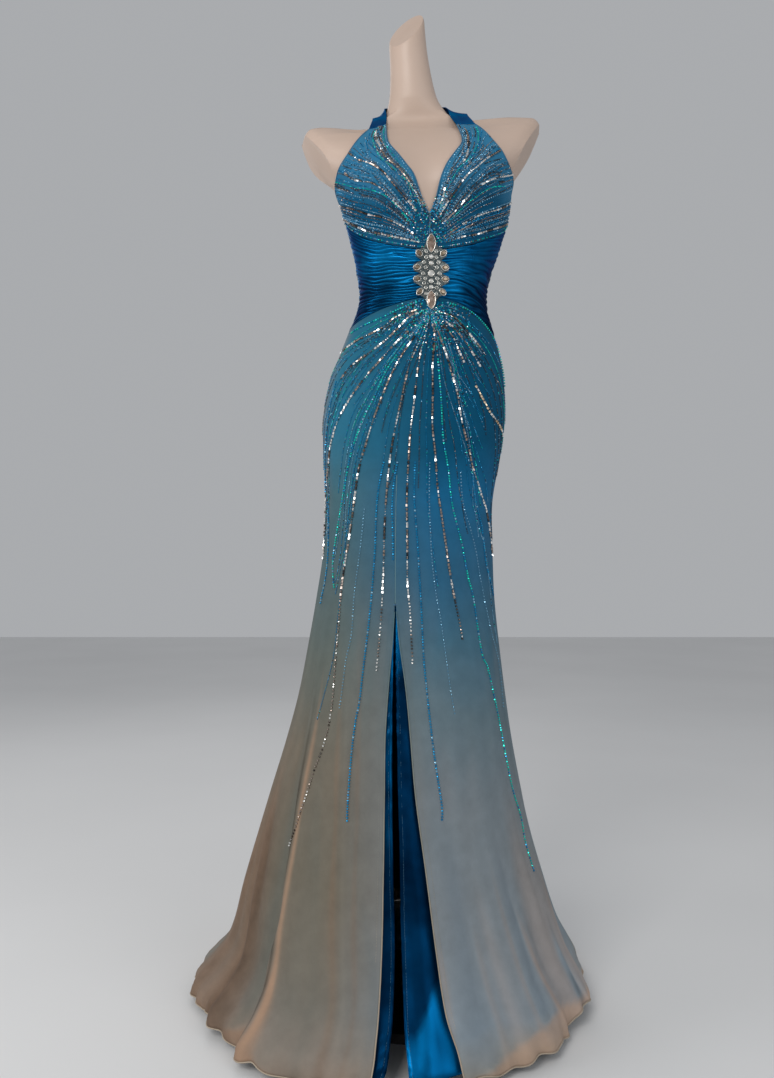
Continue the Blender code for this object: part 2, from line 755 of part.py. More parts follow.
def even_path(points, count):
    lengths = [0.0]
    for low, high in zip(points, points[1:]):
        lengths.append(lengths[-1] + (high - low).length)
    path = []
    index = 0
    for step in range(count + 1):
        target = lengths[-1] * step / count
        while index < len(points) - 2 and lengths[index + 1] < target:
            index += 1
        span = lengths[index + 1] - lengths[index]
        share = (target - lengths[index]) / span if span else 0.0
        path.append(points[index].lerp(points[index + 1], share))
    return path


def cup_edges(tree, side):
    # The four edges of a cup: under the bust, the strap seam, the neckline and the armhole.
    sign = -1.0 if side == "left" else 1.0
    gap = SEAM_GAP / 2.0
    neckline = LEFT_NECKLINE if side == "left" else RIGHT_NECKLINE
    armhole = LEFT_ARMHOLE if side == "left" else RIGHT_ARMHOLE
    underarm = UNDERARM_LEFT if side == "left" else UNDERARM_RIGHT
    centre = CENTRE_ACROSS + sign * gap
    bottom_angle = centre_angle()
    side_angle = sign * (SIDE_ANGLE - SEAM_TURN)

    def seam_point(angle):
        return bare_point(angle, seam_height("bust_seam", angle) + gap, 0.0)

    bottom = [seam_point(blend(bottom_angle, side_angle, step / CUP_COLUMNS)) for step in range(CUP_COLUMNS + 1)]
    bottom[0].x = centre
    low_centre = front_point(tree, centre, seam_height("bust_seam", bottom_angle) + gap)
    middle = [low_centre, front_point(tree, centre, NECKLINE_BOTTOM)]
    turned = [front_point(tree, centre, NECKLINE_BOTTOM)] + [front_point(tree, *place) for place in neckline]
    centre_steps = 3
    inner = even_path(middle, centre_steps) + smooth_path(turned, CUP_ROWS - centre_steps)[1:]
    side_low = seam_point(side_angle)
    side_high = bare_point(side_angle, SIDE_CUP_TOP, 0.0)
    outer_controls = [side_high, bare_point(sign * UNDERARM_ANGLE, underarm, 0.0)]
    outer_controls += [front_point(tree, *place) for place in armhole]
    side_steps = 2
    outer = even_path([side_low, side_high], side_steps) + smooth_path(outer_controls, CUP_ROWS - side_steps)[1:]
    top = even_path([inner[-1], outer[-1]], CUP_COLUMNS)
    return bottom, top, inner, outer


def filled_patch(bottom, top, inner, outer):
    # Surface between four edges that share their corners.
    rows = []
    for row_index in range(CUP_ROWS + 1):
        up = row_index / CUP_ROWS
        row = []
        for column in range(CUP_COLUMNS + 1):
            side = column / CUP_COLUMNS
            ruled_up = bottom[column].lerp(top[column], up)
            ruled_side = inner[row_index].lerp(outer[row_index], side)
            corners = bottom[0].lerp(bottom[-1], side).lerp(top[0].lerp(top[-1], side), up)
            row.append(ruled_up + ruled_side - corners)
        rows.append(row)
    return rows


def build_cups(tree, chiffon):
    tops = {}
    for side in ("left", "right"):
        rows = filled_patch(*cup_edges(tree, side))
        rows = [[laid_point(tree, point, CUP_FACE) for point in row] for row in rows]
        tops[side] = (rows[-1][0], rows[-1][-1])
        if side == "left":
            rows = [list(reversed(row)) for row in rows]
        cloth_wall("cup_" + side, rows, CUP_WALL, chiffon)
    return tops


def build_strap(tree, tops, satin):
    # Two edge curves from the left cup to the right cup, behind the neck.
    upper = [tops["left"][0]]
    lower = [tops["left"][1]]
    places = rows_by_name(STRAP_COLUMNS, STRAP_LEFT)
    for place in places:
        upper.append(bare_point(place["angle"], place["upper"], 0.0))
        lower.append(bare_point(place["angle"], place["lower"], 0.0))
    nape = dict(zip(STRAP_COLUMNS, STRAP_NAPE))
    upper.append(bare_point(nape["angle"], nape["upper"], 0.0))
    lower.append(bare_point(nape["angle"], nape["lower"], 0.0))
    for place in reversed(places):
        upper.append(bare_point(-place["angle"], place["upper"], 0.0))
        lower.append(bare_point(-place["angle"], place["lower"], 0.0))
    upper.append(tops["right"][0])
    lower.append(tops["right"][1])
    count = 2 * STRAP_ROWS_EACH_SIDE
    upper_path = smooth_path(upper, count)
    lower_path = smooth_path(lower, count)
    for path in (upper_path, lower_path):
        path[0] = path[0] + (path[1] - path[0]).normalized() * STRAP_SEAM_GAP
        path[-1] = path[-1] + (path[-2] - path[-1]).normalized() * STRAP_SEAM_GAP
    rows = []
    for index in range(count + 1):
        row = []
        for step in range(STRAP_ACROSS + 1):
            point = upper_path[index].lerp(lower_path[index], step / STRAP_ACROSS)
            row.append(laid_point(tree, point, STRAP_FACE))
        rows.append(row)
    cloth_wall("halter_strap", rows, STRAP_WALL, satin)


# Dress form and stand

def build_form(plaster, steel, black):
    # The front has closer columns than the back, for the bust.
    angles = [blend(-90.0, 90.0, step / FORM_FRONT_COLUMNS) for step in range(FORM_FRONT_COLUMNS)]
    angles += [blend(90.0, 270.0, step / FORM_BACK_COLUMNS) for step in range(FORM_BACK_COLUMNS)]
    rows = [[bare_point(angle, height, 0.0) for angle in angles] for height in (FORM_BOTTOM, *FORM_ROWS)]
    points = [tuple(point) for row in rows for point in row]
    faces = []
    for low in range(len(rows) - 1):
        base = low * FORM_COLUMNS
        for step in range(FORM_COLUMNS):
            side = (step + 1) % FORM_COLUMNS
            faces.append((base + step, base + side, base + FORM_COLUMNS + side, base + FORM_COLUMNS + step))
    faces.append(tuple(reversed(range(FORM_COLUMNS))))
    top = (len(rows) - 1) * FORM_COLUMNS
    faces.append(tuple(range(top, top + FORM_COLUMNS)))
    mesh = bpy.data.meshes.new("form_torso")
    mesh.from_pydata(points, [], faces)
    mesh.update()
    torso = add_object("form_torso", mesh, plaster)
    for cut in rows_by_name(CUT_COLUMNS, FORM_CUTS):
        cutter = cutter_box(cut)
        boolean = torso.modifiers.new(cut["name"], "BOOLEAN")
        boolean.operation = "DIFFERENCE"
        boolean.solver = "EXACT"
        boolean.object = cutter
    build_stand(steel, black)


def cutter_box(cut):
    # A box whose low face lies on the cut, from a little below its point to well above it.
    outward = Vector(cut["normal"]).normalized()
    up = Vector(cut["up"])
    up = (up - outward * up.dot(outward)).normalized()
    sideways = up.cross(outward)
    middle = Vector(cut["point"]) + up * (cut["above"] - cut["below"]) / 2.0 + outward * CUT_REACH / 2.0
    bpy.ops.mesh.primitive_cube_add(size=1.0)
    cutter = bpy.context.object
    cutter.name = cut["name"]
    frame = Matrix((sideways * 2.0 * CUT_REACH, up * (cut["above"] + cut["below"]), outward * CUT_REACH))
    frame = frame.transposed().to_4x4()
    frame.translation = middle
    cutter.matrix_world = frame
    for collection in list(cutter.users_collection):
        collection.objects.unlink(cutter)
    cutters.objects.link(cutter)
    cutter.display_type = "WIRE"
    cutter.hide_render = True
    return cutter


def turned_object(name, profile, material):
    # A profile of radius and height, turned round the vertical axis from the top down.
    mesh = bpy.data.meshes.new(name)
    edges = [(index, index + 1) for index in range(len(profile) - 1)]
    mesh.from_pydata([(radius, 0.0, height) for radius, height in profile], edges, [])
    part = add_object(name, mesh, material, smooth=False)
    screw = part.modifiers.new("Turn", "SCREW")
    screw.steps = 32
    screw.render_steps = 32
    screw.use_merge_vertices = True
    screw.merge_threshold = 0.0001
    screw.use_smooth_shade = False
    return part


def build_stand(steel, black):
    base_top = BASE_THICKNESS
    turned_object(
        "stand_base",
        (
            (0.0, base_top),
            (BASE_RADIUS - BASE_BEVEL, base_top),
            (BASE_RADIUS, base_top - BASE_BEVEL),
            (BASE_RADIUS, 0.0),
            (0.0, 0.0),
        ),
        black,
    )
    socket_low = base_top + PART_GAP
    flange_top = FORM_BOTTOM - PART_GAP
    turned_object(
        "stand_pole",
        (
            (0.0, flange_top),
            (FLANGE_RADIUS, flange_top),
            (FLANGE_RADIUS, flange_top - FLANGE_THICKNESS),
            (POLE_RADIUS, flange_top - FLANGE_THICKNESS),
            (POLE_RADIUS, socket_low + SOCKET_HEIGHT),
            (SOCKET_RADIUS, socket_low + SOCKET_HEIGHT - SOCKET_SLOPE),
            (SOCKET_RADIUS, socket_low),
            (0.0, socket_low),
        ),
        steel,
    )


# Brooch

def brooch_place(across_mm, up_mm):
    height = BROOCH_HEIGHT + up_mm * MM
    angle = angle_at(BROOCH_ACROSS + across_mm * MM, height)
    return angle, height


def stone_frame(across_mm, up_mm, out):
    angle, height = brooch_place(across_mm, up_mm)
    place = surface_point(angle, height, out)
    outward = outward_at(angle, height, 0.0)
    upright = Vector((0.0, 0.0, 1.0))
    upright = (upright - outward * upright.dot(outward)).normalized()
    sideways = upright.cross(outward)
    frame = Matrix((sideways, upright, outward)).transposed().to_4x4()
    frame.translation = place
    return frame


def stone_mesh(name, segments, width, length, depth, pointed):
    # A cut stone: a flat back, a girdle and a smaller flat face.
    shape = bmesh.new()
    bmesh.ops.create_cone(
        shape, cap_ends=True, segments=segments, radius1=0.5, radius2=STONE_TABLE, depth=1.0
    )
    for point in shape.verts:
        if pointed:
            reach = math.hypot(point.co.x, point.co.y)
            point.co.x *= (abs(point.co.x) / reach) ** NAVETTE_PINCH
        point.co = Vector((point.co.x * width, point.co.y * length, (point.co.z + 0.5) * depth))
    bmesh.ops.remove_doubles(shape, verts=shape.verts[:], dist=0.00001)
    mesh = bpy.data.meshes.new(name)
    shape.to_mesh(mesh)
    shape.free()
    return mesh


def build_brooch(silver, crystal):
    plate = rows_by_name(PLATE_COLUMNS, PLATE)
    rows = []
    for line in plate:
        row = []
        for step in range(PLATE_ACROSS + 1):
            across = blend(-line["half_width"], line["half_width"], step / PLATE_ACROSS)
            angle, height = brooch_place(across, line["up"])
            row.append(surface_point(angle, height, PLATE_FACE))
        rows.append(row)
    cloth_wall("brooch_plate", rows, PLATE_WALL, silver)
    for stone in rows_by_name(NAVETTE_COLUMNS, NAVETTES):
        mesh = stone_mesh(stone["name"], 12, stone["width"] * MM, stone["length"] * MM, STONE_DEPTH, True)
        part = add_object(stone["name"], mesh, crystal, smooth=False)
        turn = Matrix.Rotation(-math.radians(stone["turn"]), 4, "Z")
        out = STONE_SEAT + stone["lift"] * MM
        part.matrix_world = stone_frame(stone["across"], stone["up"], out) @ turn
    rounds = rows_by_name(ROUND_COLUMNS, ROUND_MIDDLE)
    for stone in rows_by_name(ROUND_COLUMNS, ROUND_PAIRS):
        rounds.append(stone)
        rounds.append({**stone, "across": -stone["across"]})
    for index, stone in enumerate(rounds):
        name = "stone_round_" + str(index + 1)
        width = 2.0 * stone["radius"] * MM
        part = add_object(name, stone_mesh(name, 8, width, width, ROUND_DEPTH, False), crystal, smooth=False)
        part.matrix_world = stone_frame(stone["across"], stone["up"], STONE_SEAT)


# Scene

for leftover in list(bpy.data.objects):
    bpy.data.objects.remove(leftover, do_unlink=True)

dress_parts = bpy.data.collections.new("mermaid_dress")
bpy.context.scene.collection.children.link(dress_parts)
cutters = bpy.data.collections.new("cutters")
bpy.context.scene.collection.children.link(cutters)

overlay_cloth = make_material("chiffon", (0.10, 0.19, 0.24), 0.6, 0.0)
satin_cloth = make_material("blue_satin", (0.005, 0.09, 0.25), 0.3, 0.0)
form_finish = make_material("form_skin", (0.62, 0.47, 0.39), 0.55, 0.0)
silver_finish = make_material("silver", (0.75, 0.74, 0.70), 0.25, 1.0)
crystal_finish = make_material("crystal", (0.85, 0.82, 0.76), 0.05, 0.0)
steel_finish = make_material("steel", (0.55, 0.55, 0.56), 0.35, 1.0)
black_finish = make_material("black_paint", (0.02, 0.02, 0.022), 0.5, 0.0)

body = body_tree()
build_form(form_finish, steel_finish, black_finish)
build_skirt(overlay_cloth, satin_cloth)
build_midriff(satin_cloth)
cup_tops = build_cups(body, overlay_cloth)
build_strap(body, cup_tops, satin_cloth)
build_brooch(silver_finish, crystal_finish)
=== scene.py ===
# Looks of a mermaid prom dress on a limbless dress form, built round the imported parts.
# Metres, +Z up, the front faces -Y. An angle on the body is 0 at the front, 90 at +X and 180 behind.

import math
import random

import bmesh
import bpy
import numpy as np
from mathutils import Matrix, Vector
from mathutils.bvhtree import BVHTree


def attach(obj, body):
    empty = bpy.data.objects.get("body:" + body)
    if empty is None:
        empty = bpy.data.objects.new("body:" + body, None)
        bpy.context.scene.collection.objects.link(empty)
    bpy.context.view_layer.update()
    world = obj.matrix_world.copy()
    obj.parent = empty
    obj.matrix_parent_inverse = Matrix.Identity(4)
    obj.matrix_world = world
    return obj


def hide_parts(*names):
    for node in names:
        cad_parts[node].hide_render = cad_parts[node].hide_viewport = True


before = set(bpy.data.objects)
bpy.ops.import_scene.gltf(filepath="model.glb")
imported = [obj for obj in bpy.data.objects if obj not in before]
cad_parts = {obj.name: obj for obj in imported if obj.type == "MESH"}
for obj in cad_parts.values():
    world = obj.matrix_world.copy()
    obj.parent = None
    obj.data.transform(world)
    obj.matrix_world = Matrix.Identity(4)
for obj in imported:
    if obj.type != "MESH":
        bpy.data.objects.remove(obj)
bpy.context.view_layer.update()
print("frame loaded:", len(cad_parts), "parts")


# Body shape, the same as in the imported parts
# Level slices: height, then the columns named below, all in metres but the squareness and the tilt
bodySlices = np.array((
    (0.008, -0.0385, 0.050, 0.3400, 0.354, 0.374, 2.0, 0.0),
    (0.030, -0.0385, 0.049, 0.3370, 0.350, 0.370, 2.0, 0.0),
    (0.060, -0.0320, 0.046, 0.3150, 0.326, 0.342, 2.0, 0.0),
    (0.105, -0.0285, 0.043, 0.2870, 0.292, 0.305, 2.0, 0.0),
    (0.193, -0.0315, 0.038, 0.2605, 0.258, 0.268, 2.0, 0.0),
    (0.277, -0.0320, 0.033, 0.2365, 0.236, 0.242, 2.0, 0.0),
    (0.361, -0.0300, 0.029, 0.2155, 0.215, 0.220, 2.0, 0.0),
    (0.445, -0.0260, 0.023, 0.1945, 0.191, 0.197, 2.0, 0.0),
    (0.529, -0.0210, 0.019, 0.1770, 0.168, 0.174, 2.0, 0.0),
    (0.613, -0.0180, 0.016, 0.1635, 0.144, 0.151, 2.05, 0.0),
    (0.697, -0.0150, 0.012, 0.1515, 0.123, 0.132, 2.1, 0.0),
    (0.781, -0.0105, 0.008, 0.1435, 0.109, 0.119, 2.15, 0.0),
    (0.865, -0.0090, 0.006, 0.1415, 0.102, 0.116, 2.2, 0.0),
    (0.949, -0.0035, 0.006, 0.1505, 0.102, 0.124, 2.2, 0.0),
    (1.010, 0.0000, 0.006, 0.1540, 0.102, 0.127, 2.2, 0.0),
    (1.075, 0.0050, 0.004, 0.1470, 0.097, 0.117, 2.2, 0.0),
    (1.117, 0.0095, 0.002, 0.1355, 0.091, 0.104, 2.15, 0.0),
    (1.159, 0.0120, 0.000, 0.1215, 0.084, 0.090, 2.1, 0.0),
    (1.198, 0.0148, 0.000, 0.1090, 0.079, 0.081, 2.1, 0.0),
    (1.232, 0.0164, 0.000, 0.1075, 0.078, 0.079, 2.1, 0.0),
    (1.264, 0.0180, 0.000, 0.1135, 0.080, 0.081, 2.1, 0.0),
    (1.306, 0.0210, 0.001, 0.1245, 0.084, 0.084, 2.1, 0.0),
    (1.348, 0.0218, 0.002, 0.1365, 0.087, 0.086, 2.1, 0.0),
    (1.390, 0.0190, 0.003, 0.1460, 0.089, 0.087, 2.15, 0.005),
    (1.420, 0.0150, 0.005, 0.1570, 0.087, 0.085, 2.3, 0.020),
    (1.450, 0.0135, 0.008, 0.1900, 0.080, 0.079, 2.5, 0.040),
    (1.480, 0.0120, 0.011, 0.2330, 0.066, 0.068, 2.7, 0.050),
    (1.502, 0.0120, 0.013, 0.2550, 0.050, 0.054, 2.8, 0.050),
    (1.517, 0.0120, 0.014, 0.2520, 0.038, 0.043, 2.8, 0.050),
    (1.5245, 0.0120, 0.015, 0.2250, 0.032, 0.038, 2.7, 0.050),
    (1.528, 0.0115, 0.015, 0.1700, 0.031, 0.036, 2.5, 0.050),
    (1.531, 0.0105, 0.014, 0.1120, 0.032, 0.036, 2.3, 0.048),
    (1.536, 0.0085, 0.013, 0.0780, 0.034, 0.037, 2.1, 0.042),
    (1.543, 0.0055, 0.011, 0.0610, 0.036, 0.038, 2.0, 0.030),
    (1.555, 0.0015, 0.008, 0.0490, 0.037, 0.038, 2.0, 0.012),
    (1.575, -0.0018, 0.004, 0.0408, 0.036, 0.037, 2.0, 0.0),
    (1.621, -0.0070, -0.002, 0.0345, 0.034, 0.034, 2.0, 0.0),
    (1.663, -0.0114, -0.007, 0.0322, 0.032, 0.032, 2.0, 0.0),
    (1.735, -0.0165, -0.014, 0.0310, 0.030, 0.030, 2.0, 0.0),
))
sliceColumns = {"across": 1, "back": 2, "half": 3, "front": 4, "rear": 5, "square": 6, "tilt": 7}
bust = {"height": 1.398, "apart": 0.072, "rise": 0.026, "across": 0.040, "above": 0.046, "below": 0.030}

# Seams: angle, top of the skirt, seam under the bust, top of the back
seams = np.array((
    (-180.0, 1.118, 1.350, 1.285),
    (-135.0, 1.134, 1.350, 1.325),
    (-110.0, 1.147, 1.350, 1.372),
    (-90.0, 1.156, 1.350, 1.400),
    (-60.0, 1.170, 1.316, 1.400),
    (-27.0, 1.189, 1.291, 1.400),
    (3.0, 1.202, 1.281, 1.400),
    (30.0, 1.194, 1.291, 1.400),
    (52.0, 1.173, 1.308, 1.400),
    (75.0, 1.139, 1.328, 1.400),
    (90.0, 1.130, 1.346, 1.400),
    (110.0, 1.126, 1.350, 1.376),
    (135.0, 1.121, 1.350, 1.328),
    (180.0, 1.118, 1.350, 1.285),
))
seamColumns = {"skirtTop": 1, "bustSeam": 2, "backTop": 3}

# The slit: height, overlay left and right, lining left and right, all as places across
slit = np.array((
    (0.010, -0.0730, 0.0640, -0.0550, -0.0130),
    (0.048, -0.0660, 0.0530, -0.0460, -0.0175),
    (0.090, -0.0600, 0.0395, -0.0390, -0.0215),
    (0.168, -0.0550, 0.0270, -0.0360, -0.0235),
    (0.283, -0.0525, 0.0120, -0.0380, -0.0260),
    (0.391, -0.0510, -0.0030, -0.0393, -0.0300),
    (0.485, -0.0495, -0.0110, -0.0390, -0.0320),
    (0.565, -0.0440, -0.0185, -0.0376, -0.0334),
    (0.631, -0.0380, -0.0270, -0.0360, -0.0350),
    (0.700, -0.0335, -0.0335, -0.0335, -0.0335),
))
slitColumns = {"overlayLeft": 1, "overlayRight": 2, "liningLeft": 3, "liningRight": 4}
# The centre front seam above the slit: height, place across
centreSeam = np.array((
    (0.700, -0.0335), (0.880, -0.0316), (1.000, -0.0240), (1.100, -0.0080), (1.210, 0.0130),
))

# Long folds: angle at the hem, angle at the top, top height, depth at the hem, width in degrees
longFolds = (
    (-82.0, -88.0, 0.50, 0.006, 7.0),
    (-65.0, -80.0, 0.55, -0.009, 5.0),
    (-29.0, -40.0, 0.45, 0.006, 7.0),
    (-16.0, -22.0, 0.35, -0.005, 5.0),
    (31.0, 26.0, 0.40, -0.005, 6.0),
    (43.0, 38.0, 0.45, 0.007, 6.0),
    (57.0, 54.0, 0.35, -0.010, 5.0),
    (70.0, 68.0, 0.45, 0.006, 6.0),
    (84.0, 84.0, 0.45, -0.007, 5.0),
    (103.0, 100.0, 0.60, 0.009, 7.0),
    (119.0, 114.0, 0.55, -0.012, 6.0),
    (134.0, 130.0, 0.65, 0.011, 7.0),
    (151.0, 147.0, 0.60, -0.011, 6.0),
    (167.0, 165.0, 0.65, 0.010, 7.0),
    (184.0, 182.0, 0.60, -0.010, 6.0),
    (201.0, 200.0, 0.65, 0.012, 7.0),
    (218.0, 219.0, 0.60, -0.011, 6.0),
    (234.0, 237.0, 0.65, 0.010, 7.0),
    (250.0, 253.0, 0.55, -0.009, 6.0),
)
# Faces of the cloths are distances out from the body
cloth = {
    "liningFace": 0.0030,
    "overlayFace": 0.0047,
    "cupFace": 0.0042,
    "strapFace": 0.0034,
    "midriffFace": 0.0038,
    "wall": 0.0006,
    "seamGap": 0.0004,
    "sideAngle": 95.0,
    "slitTop": 0.70,
    "hemHeight": 0.010,
    "closingHeight": 1.01,
}


# Small tools

def smoothAt(table, column, where):
    # smooth curve through one column of a table, flat past its ends
    places = table[:, 0]
    values = table[:, column]
    where = np.clip(where, places[0], places[-1])
    low = np.clip(np.searchsorted(places, where, side="right") - 1, 0, len(places) - 2)
    high = low + 1
    before = np.maximum(low - 1, 0)
    after = np.minimum(low + 2, len(places) - 1)
    span = places[high] - places[low]
    share = (where - places[low]) / span
    slopeLow = (values[high] - values[before]) / (places[high] - places[before]) * span
    slopeHigh = (values[after] - values[low]) / (places[after] - places[low]) * span
    square = share * share
    cube = square * share
    return (
        (2.0 * cube - 3.0 * square + 1.0) * values[low]
        + (cube - 2.0 * square + share) * slopeLow
        + (3.0 * square - 2.0 * cube) * values[high]
        + (cube - square) * slopeHigh
    )


def sliceAt(name, height):
    return smoothAt(bodySlices, sliceColumns[name], height)


def smoothStep(value):
    value = np.clip(value, 0.0, 1.0)
    return value * value * (3.0 - 2.0 * value)


def signedPower(value, power):
    return np.sign(value) * np.abs(value) ** power


def wrapped(angle):
    return (angle + 180.0) % 360.0 - 180.0


def blend(low, high, share):
    return low + (high - low) * share


def unevenness(first, second, seed):
    # a smooth uneven value from about -1 to 1, from a few crossed waves
    dice = random.Random(seed)
    total = 0.0
    for octave in range(5):
        pace = 1.0 + 0.9 * octave
        turn = dice.uniform(0.0, math.tau)
        total = total + np.sin(
            pace * (first * math.cos(turn) + second * math.sin(turn)) + dice.uniform(0.0, math.tau)
        ) / pace ** 0.5
    return total / 2.6


# Points on the body

def foldDepth(angle, height):
    total = 0.0
    for hemAngle, topAngle, topHeight, depth, width in longFolds:
        fall = np.clip((topHeight - height) / (topHeight - cloth["hemHeight"]), 0.0, 1.2)
        middle = blend(topAngle, hemAngle, fall)
        away = wrapped(angle - middle) / width
        total = total + depth * smoothStep(fall) * np.exp(-away * away)
    return total


def barePoints(angle, height, folds=None):
    angle = np.asarray(angle, float)
    height = np.asarray(height, float)
    across, back, half, front, rear, square, tilt = [sliceAt(name, height) for name in sliceColumns]
    turn = np.radians(angle)
    power = 2.0 / square
    facing = np.cos(turn)
    x = half * signedPower(np.sin(turn), power)
    y = -np.where(facing > 0.0, front, rear) * signedPower(facing, power)
    if folds is not None:
        grow = 1.0 + folds(angle, height) / np.hypot(x, y)
        x = x * grow
        y = y * grow
    spread = np.where(height > bust["height"], bust["above"], bust["below"])
    level = np.exp(-0.5 * ((height - bust["height"]) / spread) ** 2)
    rise = sum(np.exp(-0.5 * ((x - side * bust["apart"]) / bust["across"]) ** 2) for side in (-1.0, 1.0))
    y = y - bust["rise"] * level * rise * np.maximum(facing, 0.0) ** 0.5
    return np.stack((across + x, back + y, height + tilt * x), axis=-1)


def outwardAt(angle, height, folds=None):
    # the direction straight out, from points a little to each side, above and below
    turn = 0.4
    rise = 0.0008
    along = barePoints(angle + turn, height, folds) - barePoints(angle - turn, height, folds)
    upward = barePoints(angle, height + rise, folds) - barePoints(angle, height - rise, folds)
    outward = np.cross(along, upward)
    return outward / np.linalg.norm(outward, axis=-1, keepdims=True)


def facePoints(angle, height, out, folds=None):
    angle, height = np.broadcast_arrays(angle, height)
    out = np.broadcast_to(out, angle.shape)
    return barePoints(angle, height, folds) + outwardAt(angle, height, folds) * out[..., None]


def spotOn(angle, height, out, folds=None):
    # one place over the body and the direction straight out there, each as a table of one row
    angle = np.array([float(angle)])
    height = np.array([float(height)])
    return facePoints(angle, height, out, folds), outwardAt(angle, height, folds)


def angleAt(across, height):
    share = np.clip((across - sliceAt("across", height)) / sliceAt("half", height), -1.0, 1.0)
    return np.degrees(np.arcsin(signedPower(share, sliceAt("square", height) / 2.0)))


def seamHeight(name, angle):
    return smoothAt(seams, seamColumns[name], wrapped(angle))


# Making pieces

def deselectAll():
    if bpy.context.mode != "OBJECT":
        bpy.ops.object.mode_set(mode="OBJECT")
    bpy.ops.object.select_all(action="DESELECT")


def applyModifier(piece, kind, **settings):
    deselectAll()
    bpy.context.view_layer.objects.active = piece
    piece.select_set(True)
    modifier = piece.modifiers.new(kind.title(), kind)
    for name, value in settings.items():
        setattr(modifier, name, value)
    bpy.ops.object.modifier_apply(modifier=modifier.name)


def clothGrid(name, points, wall=None, attributes=None):
    # a grid with its points set row by row from the bottom up, left to right, then given its wall
    rows, columns = points.shape[:2]
    deselectAll()
    bpy.ops.mesh.primitive_grid_add(x_subdivisions=columns - 1, y_subdivisions=rows - 1, size=1.0)
    piece = bpy.context.object
    piece.name = name
    piece.data.name = name
    piece.data.vertices.foreach_set("co", points.reshape(-1))
    for key, values in (attributes or {}).items():
        layer = piece.data.attributes.new(key, "FLOAT", "POINT")
        layer.data.foreach_set("value", np.asarray(values, np.float32).reshape(-1))
    piece.data.update()
    bpy.ops.object.shade_smooth()
    applyModifier(piece, "SOLIDIFY", thickness=wall or cloth["wall"], offset=-1.0)
    return piece


def tubeAlong(name, paths, radius, resolution=1):
    # a cord or roll of even radius along one or more paths
    curve = bpy.data.curves.new(name, "CURVE")
    curve.dimensions = "3D"
    curve.bevel_depth = radius
    curve.bevel_resolution = resolution
    curve.use_fill_caps = True
    for path in paths:
        spline = curve.splines.new("POLY")
        spline.points.add(len(path) - 1)
        spline.points.foreach_set("co", np.column_stack((path, np.ones(len(path)))).reshape(-1))
    piece = bpy.data.objects.new(name, curve)
    bpy.context.scene.collection.objects.link(piece)
    deselectAll()
    bpy.context.view_layer.objects.active = piece
    piece.select_set(True)
    bpy.ops.object.convert(target="MESH")
    bpy.ops.object.shade_smooth()
    return bpy.context.object


def lengthsAlong(path):
    return np.concatenate(([0.0], np.cumsum(np.linalg.norm(np.diff(path, axis=0), axis=1))))


def spreadAlong(path, count):
    # a fixed number of even steps along a path
    lengths = lengthsAlong(path)
    places = np.linspace(0.0, lengths[-1], count + 1)
    return np.column_stack([np.interp(places, lengths, path[:, axis]) for axis in range(3)])


def evenPath(path, pitch):
    # steps of about one pitch along a path
    return spreadAlong(path, max(int(lengthsAlong(path)[-1] / pitch), 1))


def smoothPath(controls, fineSteps=12):
    # smooth curve through rows of numbers
    controls = np.asarray(controls, float)
    table = np.column_stack((np.arange(len(controls)), controls))
    where = np.linspace(0.0, len(controls) - 1.0, (len(controls) - 1) * fineSteps + 1)
    return np.column_stack([smoothAt(table, column, where) for column in range(1, table.shape[1])])


def meshPiece(name, points, faces):
    mesh = bpy.data.meshes.new(name)
    mesh.from_pydata(points.tolist(), [], faces)
    mesh.update()
    piece = bpy.data.objects.new(name, mesh)
    bpy.context.scene.collection.objects.link(piece)
    return piece


def ringFaces(rings, count):
    # four-sided faces between rings of points, from the lowest ring up
    faces = []
    for base in range(0, (rings - 1) * count, count):
        for step in range(count):
            side = (step + 1) % count
            faces.append((base + step, base + side, base + count + side, base + count + step))
    return faces


def treeOf(pieces):
    points = []
    faces = []
    for piece in pieces:
        base = len(points)
        points += [vertex.co.copy() for vertex in piece.data.vertices]
        faces += [tuple(base + index for index in face.vertices) for face in piece.data.polygons]
    return BVHTree.FromPolygons(points, faces)


def laidOn(tree, points, lift):
    # each point moved to the nearest place on the pieces, with the normal there
    places = []
    normals = []
    for point in points:
        place, normal = tree.find_nearest(Vector(point))[:2]
        places.append(place + normal * lift)
        normals.append(normal)
    return np.array(places), np.array(normals)


def shapeOf(piece):
    # a small shape's points and faces, kept for copies, and its object removed
    points = np.array([vertex.co for vertex in piece.data.vertices])
    faces = [tuple(face.vertices) for face in piece.data.polygons]
    bpy.data.objects.remove(piece)
    return points, faces


def copiesAt(name, shape, places, alongs, normals, smooth=False):
    # copies of one shape: its X along the path and its Z out from the cloth
    points, faces = shape
    normals = normals / np.linalg.norm(normals, axis=1, keepdims=True)
    sides = np.cross(normals, alongs)
    sides /= np.linalg.norm(sides, axis=1, keepdims=True)
    alongs = np.cross(sides, normals)
    turned = (
        points[None, :, 0:1] * alongs[:, None, :]
        + points[None, :, 1:2] * sides[:, None, :]
        + points[None, :, 2:3] * normals[:, None, :]
        + places[:, None, :]
    ).reshape(-1, 3)
    count = len(points)
    allFaces = [
        tuple(index + copy * count for index in face) for copy in range(len(places)) for face in faces
    ]
    piece = meshPiece(name, turned, allFaces)
    if smooth:
        piece.data.shade_smooth()
    return piece


def joined(name, pieces):
    deselectAll()
    for piece in pieces:
        piece.select_set(True)
    bpy.context.view_layer.objects.active = pieces[0]
    bpy.ops.object.join()
    piece = bpy.context.object
    piece.name = name
    piece.data.name = name
    return piece


def finished(piece, material, slotName, *replacedNodes):
    piece.data.materials.clear()
    piece.data.materials.append(material)
    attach(piece, "root")
    if replacedNodes:
        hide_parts(*replacedNodes)
    return piece


# Materials

